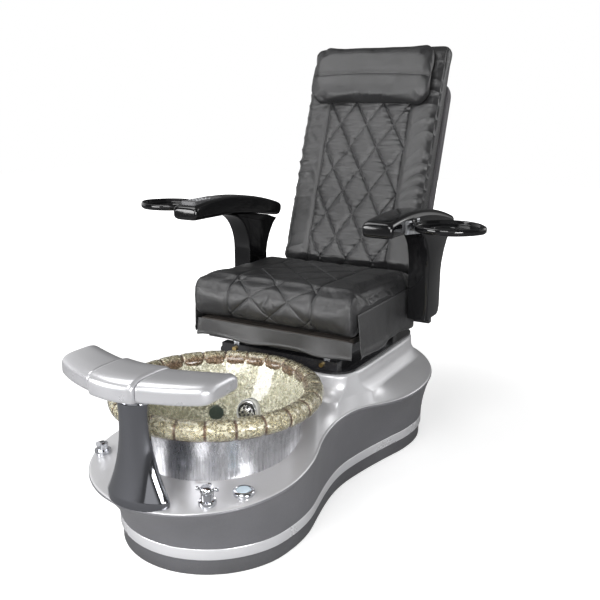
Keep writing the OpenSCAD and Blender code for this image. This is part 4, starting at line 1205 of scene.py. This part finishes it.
def cup_ring(radius, height, side):
    """Circle of the cup well, with its points in the same directions as the tray's."""
    a = circle(120)
    return np.column_stack([side * (TRAY_AXIS[0] + 0.100 + radius * np.cos(a)), TRAY_Y + radius * np.sin(a),
                            np.full(len(a), height)])


def side_tray(name, node, side):
    """Tray: rings from the underside round the rim, down into the recess and the cup well. Its barrel turns
    on the bracket's pin, and a short arm joins the two."""
    body = "flap_tray_left" if side > 0 else "flap_tray_right"
    rim = ((0.012, 0.8192), (0.004, 0.8200), (0.0, 0.8245), (0.0, 0.8335), (0.0012, 0.8370), (0.004, 0.8388),
           (0.007, 0.8386), (0.0092, 0.8365), (0.0100, 0.8300), (0.0120, 0.8276), (0.0160, 0.8270),
           (0.034, 0.8270))
    well = ((0.044, 0.8270), (0.0405, 0.8268), (0.0385, 0.8262), (0.0375, 0.8250), (0.0368, 0.8240),
            (0.034, 0.8222), (0.010, 0.8221))
    rings = [tray_ring(*level, side) for level in rim] + [cup_ring(*level, side) for level in well]
    piece = crease_by_angle(ring_stack(name, rings), 60)
    a = circle(32)
    profile = ((0.005, -0.019), (0.006, -0.018), (0.006, 0.018), (0.005, 0.019))
    rings = []
    for r, y in profile:
        x, z = TRAY_AXIS[0] + r * np.cos(a), TRAY_AXIS[1] + r * np.sin(a)
        rings.append(np.column_stack([side * x, np.full(len(a), TRAY_Y + y), z]))
    barrel = ring_stack(name + "_barrel", rings)
    inner, outer = side * TRAY_AXIS[0], side * (TRAY_AXIS[0] + 0.024)
    outline = round_corners(box_outline(inner, TRAY_Y - 0.018, outer, TRAY_Y + 0.018), 0.003)
    arm = rounded_plate(name + "_arm", outline, 0.8335, 0.8388, 0.001, along_z)
    dress(crease_by_angle(barrel, 50), body, "gloss_black")
    dress(arm, body, "gloss_black")
    dress(piece, body, "gloss_black", node)


# ---------- stage ----------

def set_camera():
    """Camera in front of the chair, a little to the sitter's left, looking slightly down."""
    data = bpy.data.cameras.new("viewer")
    camera = bpy.data.objects.new("viewer", data)
    bpy.context.scene.collection.objects.link(camera)
    data.sensor_width = 36
    data.lens = 46.8
    camera.location = (1.213, -1.977, 1.183)
    camera.rotation_euler = (math.radians(90 - 14.6), 0, math.radians(30))
    bpy.context.scene.camera = camera


def area_lamp(name, place, target, size, power):
    """Soft rectangular lamp aimed at a point."""
    data = bpy.data.lights.new(name, "AREA")
    data.shape = "RECTANGLE"
    data.size, data.size_y = size
    data.energy = power
    lamp = bpy.data.objects.new(name, data)
    bpy.context.scene.collection.objects.link(lamp)
    lamp.location = place
    lamp.rotation_euler = (Vector(target) - Vector(place)).to_track_quat("-Z", "Y").to_euler()


def ray_kinds(tree):
    """Whether the ray comes from the camera, from a reflection or through a clear piece, as three numbers."""
    ray = tree.nodes.new("ShaderNodeLightPath").outputs
    return [Number(tree, ray["Is %s Ray" % kind]) for kind in ("Camera", "Glossy", "Transmission")]


def pale_floor():
    """Floor that keeps the shadow. It glows more with distance, so that it runs into the white surroundings.
    In reflections it is darker."""
    half, low = 9, -0.0006
    corners = [(x, y, low) for x, y in box_outline(-half, -half, half, half)]
    floor = piece_from("floor", corners, [(0, 1, 2, 3)], False)
    material = bpy.data.materials.new("floor_pale")
    material.use_nodes = True
    tree = material.node_tree
    tree.nodes.clear()
    camera, glossy, clear = ray_kinds(tree)
    place = object_place(tree)
    x, y, _ = parts(tree, place)
    glow = camera.most(glossy * 0.07).most(clear) * ((x * x + y * y).step("SQRT").smooth(0.9, 3.2) + 0.50)
    pale = colour_between(noise(tree, place, 3.0), (0.80, 0.80, 0.80), (0.83, 0.83, 0.83))
    matt = add_node(tree, "BsdfDiffuse", Color=colour_between(glossy * 0.72, pale, (0.04, 0.04, 0.045)))
    light = add_node(tree, "Emission", Strength=glow)
    both = add_node(tree, "AddShader", i0=matt.outputs[0], i1=light.outputs[0])
    add_node(tree, "OutputMaterial", Surface=both.outputs[0])
    floor.data.materials.append(material)


def white_studio():
    """Surroundings: white to the camera. In reflections they are dimmer overhead and in three upright bands.
    As light on the pieces they are faint and even."""
    world = bpy.data.worlds.new("studio")
    bpy.context.scene.world = world
    world.use_nodes = True
    tree = world.node_tree
    tree.nodes.clear()
    camera, glossy, clear = ray_kinds(tree)
    seen = camera.most(glossy).most(clear)
    x, y, z = parts(tree, tree.nodes.new("ShaderNodeTexCoord").outputs["Generated"])
    bands = ((y.step("ARCTAN2", x) * 3.0 + 3.93).step("COSINE") * -1.0).smooth(-0.45, 0.25)
    dim = (z.smooth(0.10, 0.60) * 0.70).most(bands * 0.90)
    strength = seen * (dim * camera.rest()).rest() + seen.rest() * 0.26
    background = add_node(tree, "Background", Color=(1, 1, 1, 1), Strength=strength)
    add_node(tree, "OutputWorld", Surface=background.outputs[0])


def set_stage():
    """Floor, surroundings and soft lamps."""
    bpy.context.scene.view_settings.view_transform = "Standard"
    pale_floor()
    white_studio()
    area_lamp("key", (0.4, -3.0, 2.2), (0, 0, 0.5), (1.5, 1.5), 58)
    area_lamp("low", (-1.5, -2.3, 0.95), (0, 0.3, 0.7), (1.3, 0.8), 40)
    area_lamp("side", (2.5, -1.7, 0.7), (0.1, 0.2, 0.25), (1.1, 0.6), 46)
    area_lamp("top", (-1.1, -0.7, 2.8), (0, 0.0, 0.5), (1.5, 1.5), 32)
    area_lamp("rim", (1.9, 2.2, 1.8), (0, 0, 0.7), (1.2, 1.2), 12)


# ---------- the chair ----------

set_camera()
set_stage()

for part in frame["record"]["subparts"]:
    node = frame["nodes"][part["node"]]
    for holder in node.material_slots:
        holder.material = FINISH[part["material_slot"]]

tub_shell()
foot_of_base()
scalloped_rim()
jet_fitting()
deck_fittings()
chrome_column()
footrest_pad("foot_pad_middle", "footrest_centre", -MIDDLE_PAD_HALF, MIDDLE_PAD_HALF, 0.010, 0.010, 0.0065)
footrest_pad("foot_pad_left", "footrest_wing_left", WING_START, WING_END, 0.007, 0.020, -0.001)
footrest_pad("foot_pad_right", "footrest_wing_right", -WING_END, -WING_START, 0.020, 0.007, -0.001)
seat_pad()
back_pad()
neck_pillow()
rear_shell()
hanging_flap("front_valance", "front_flap", (-0.276, -0.0522, 0.4985), (1, 0, 0), (0, -1, 0), 0.552, 0.0535,
             3, 0.0100)
for side, word, seed in ((1, "left", 4), (-1, "right", 5)):
    hanging_flap("side_valance_" + word, "side_flap_" + word, (side * 0.2866, -0.044, 0.581), (0, 1, 0),
                 (side, 0, 0), 0.418, 0.134, seed, 0.0110, 0.45)
for side, word in ((1, "left"), (-1, "right")):
    arm_piece("armrest_" + word + "_cover", "arm_" + word, side)
    arm_post("arm_post_" + word + "_cover", "arm_post_" + word, side)
    side_tray("side_tray_" + word, "tray_" + word, side)
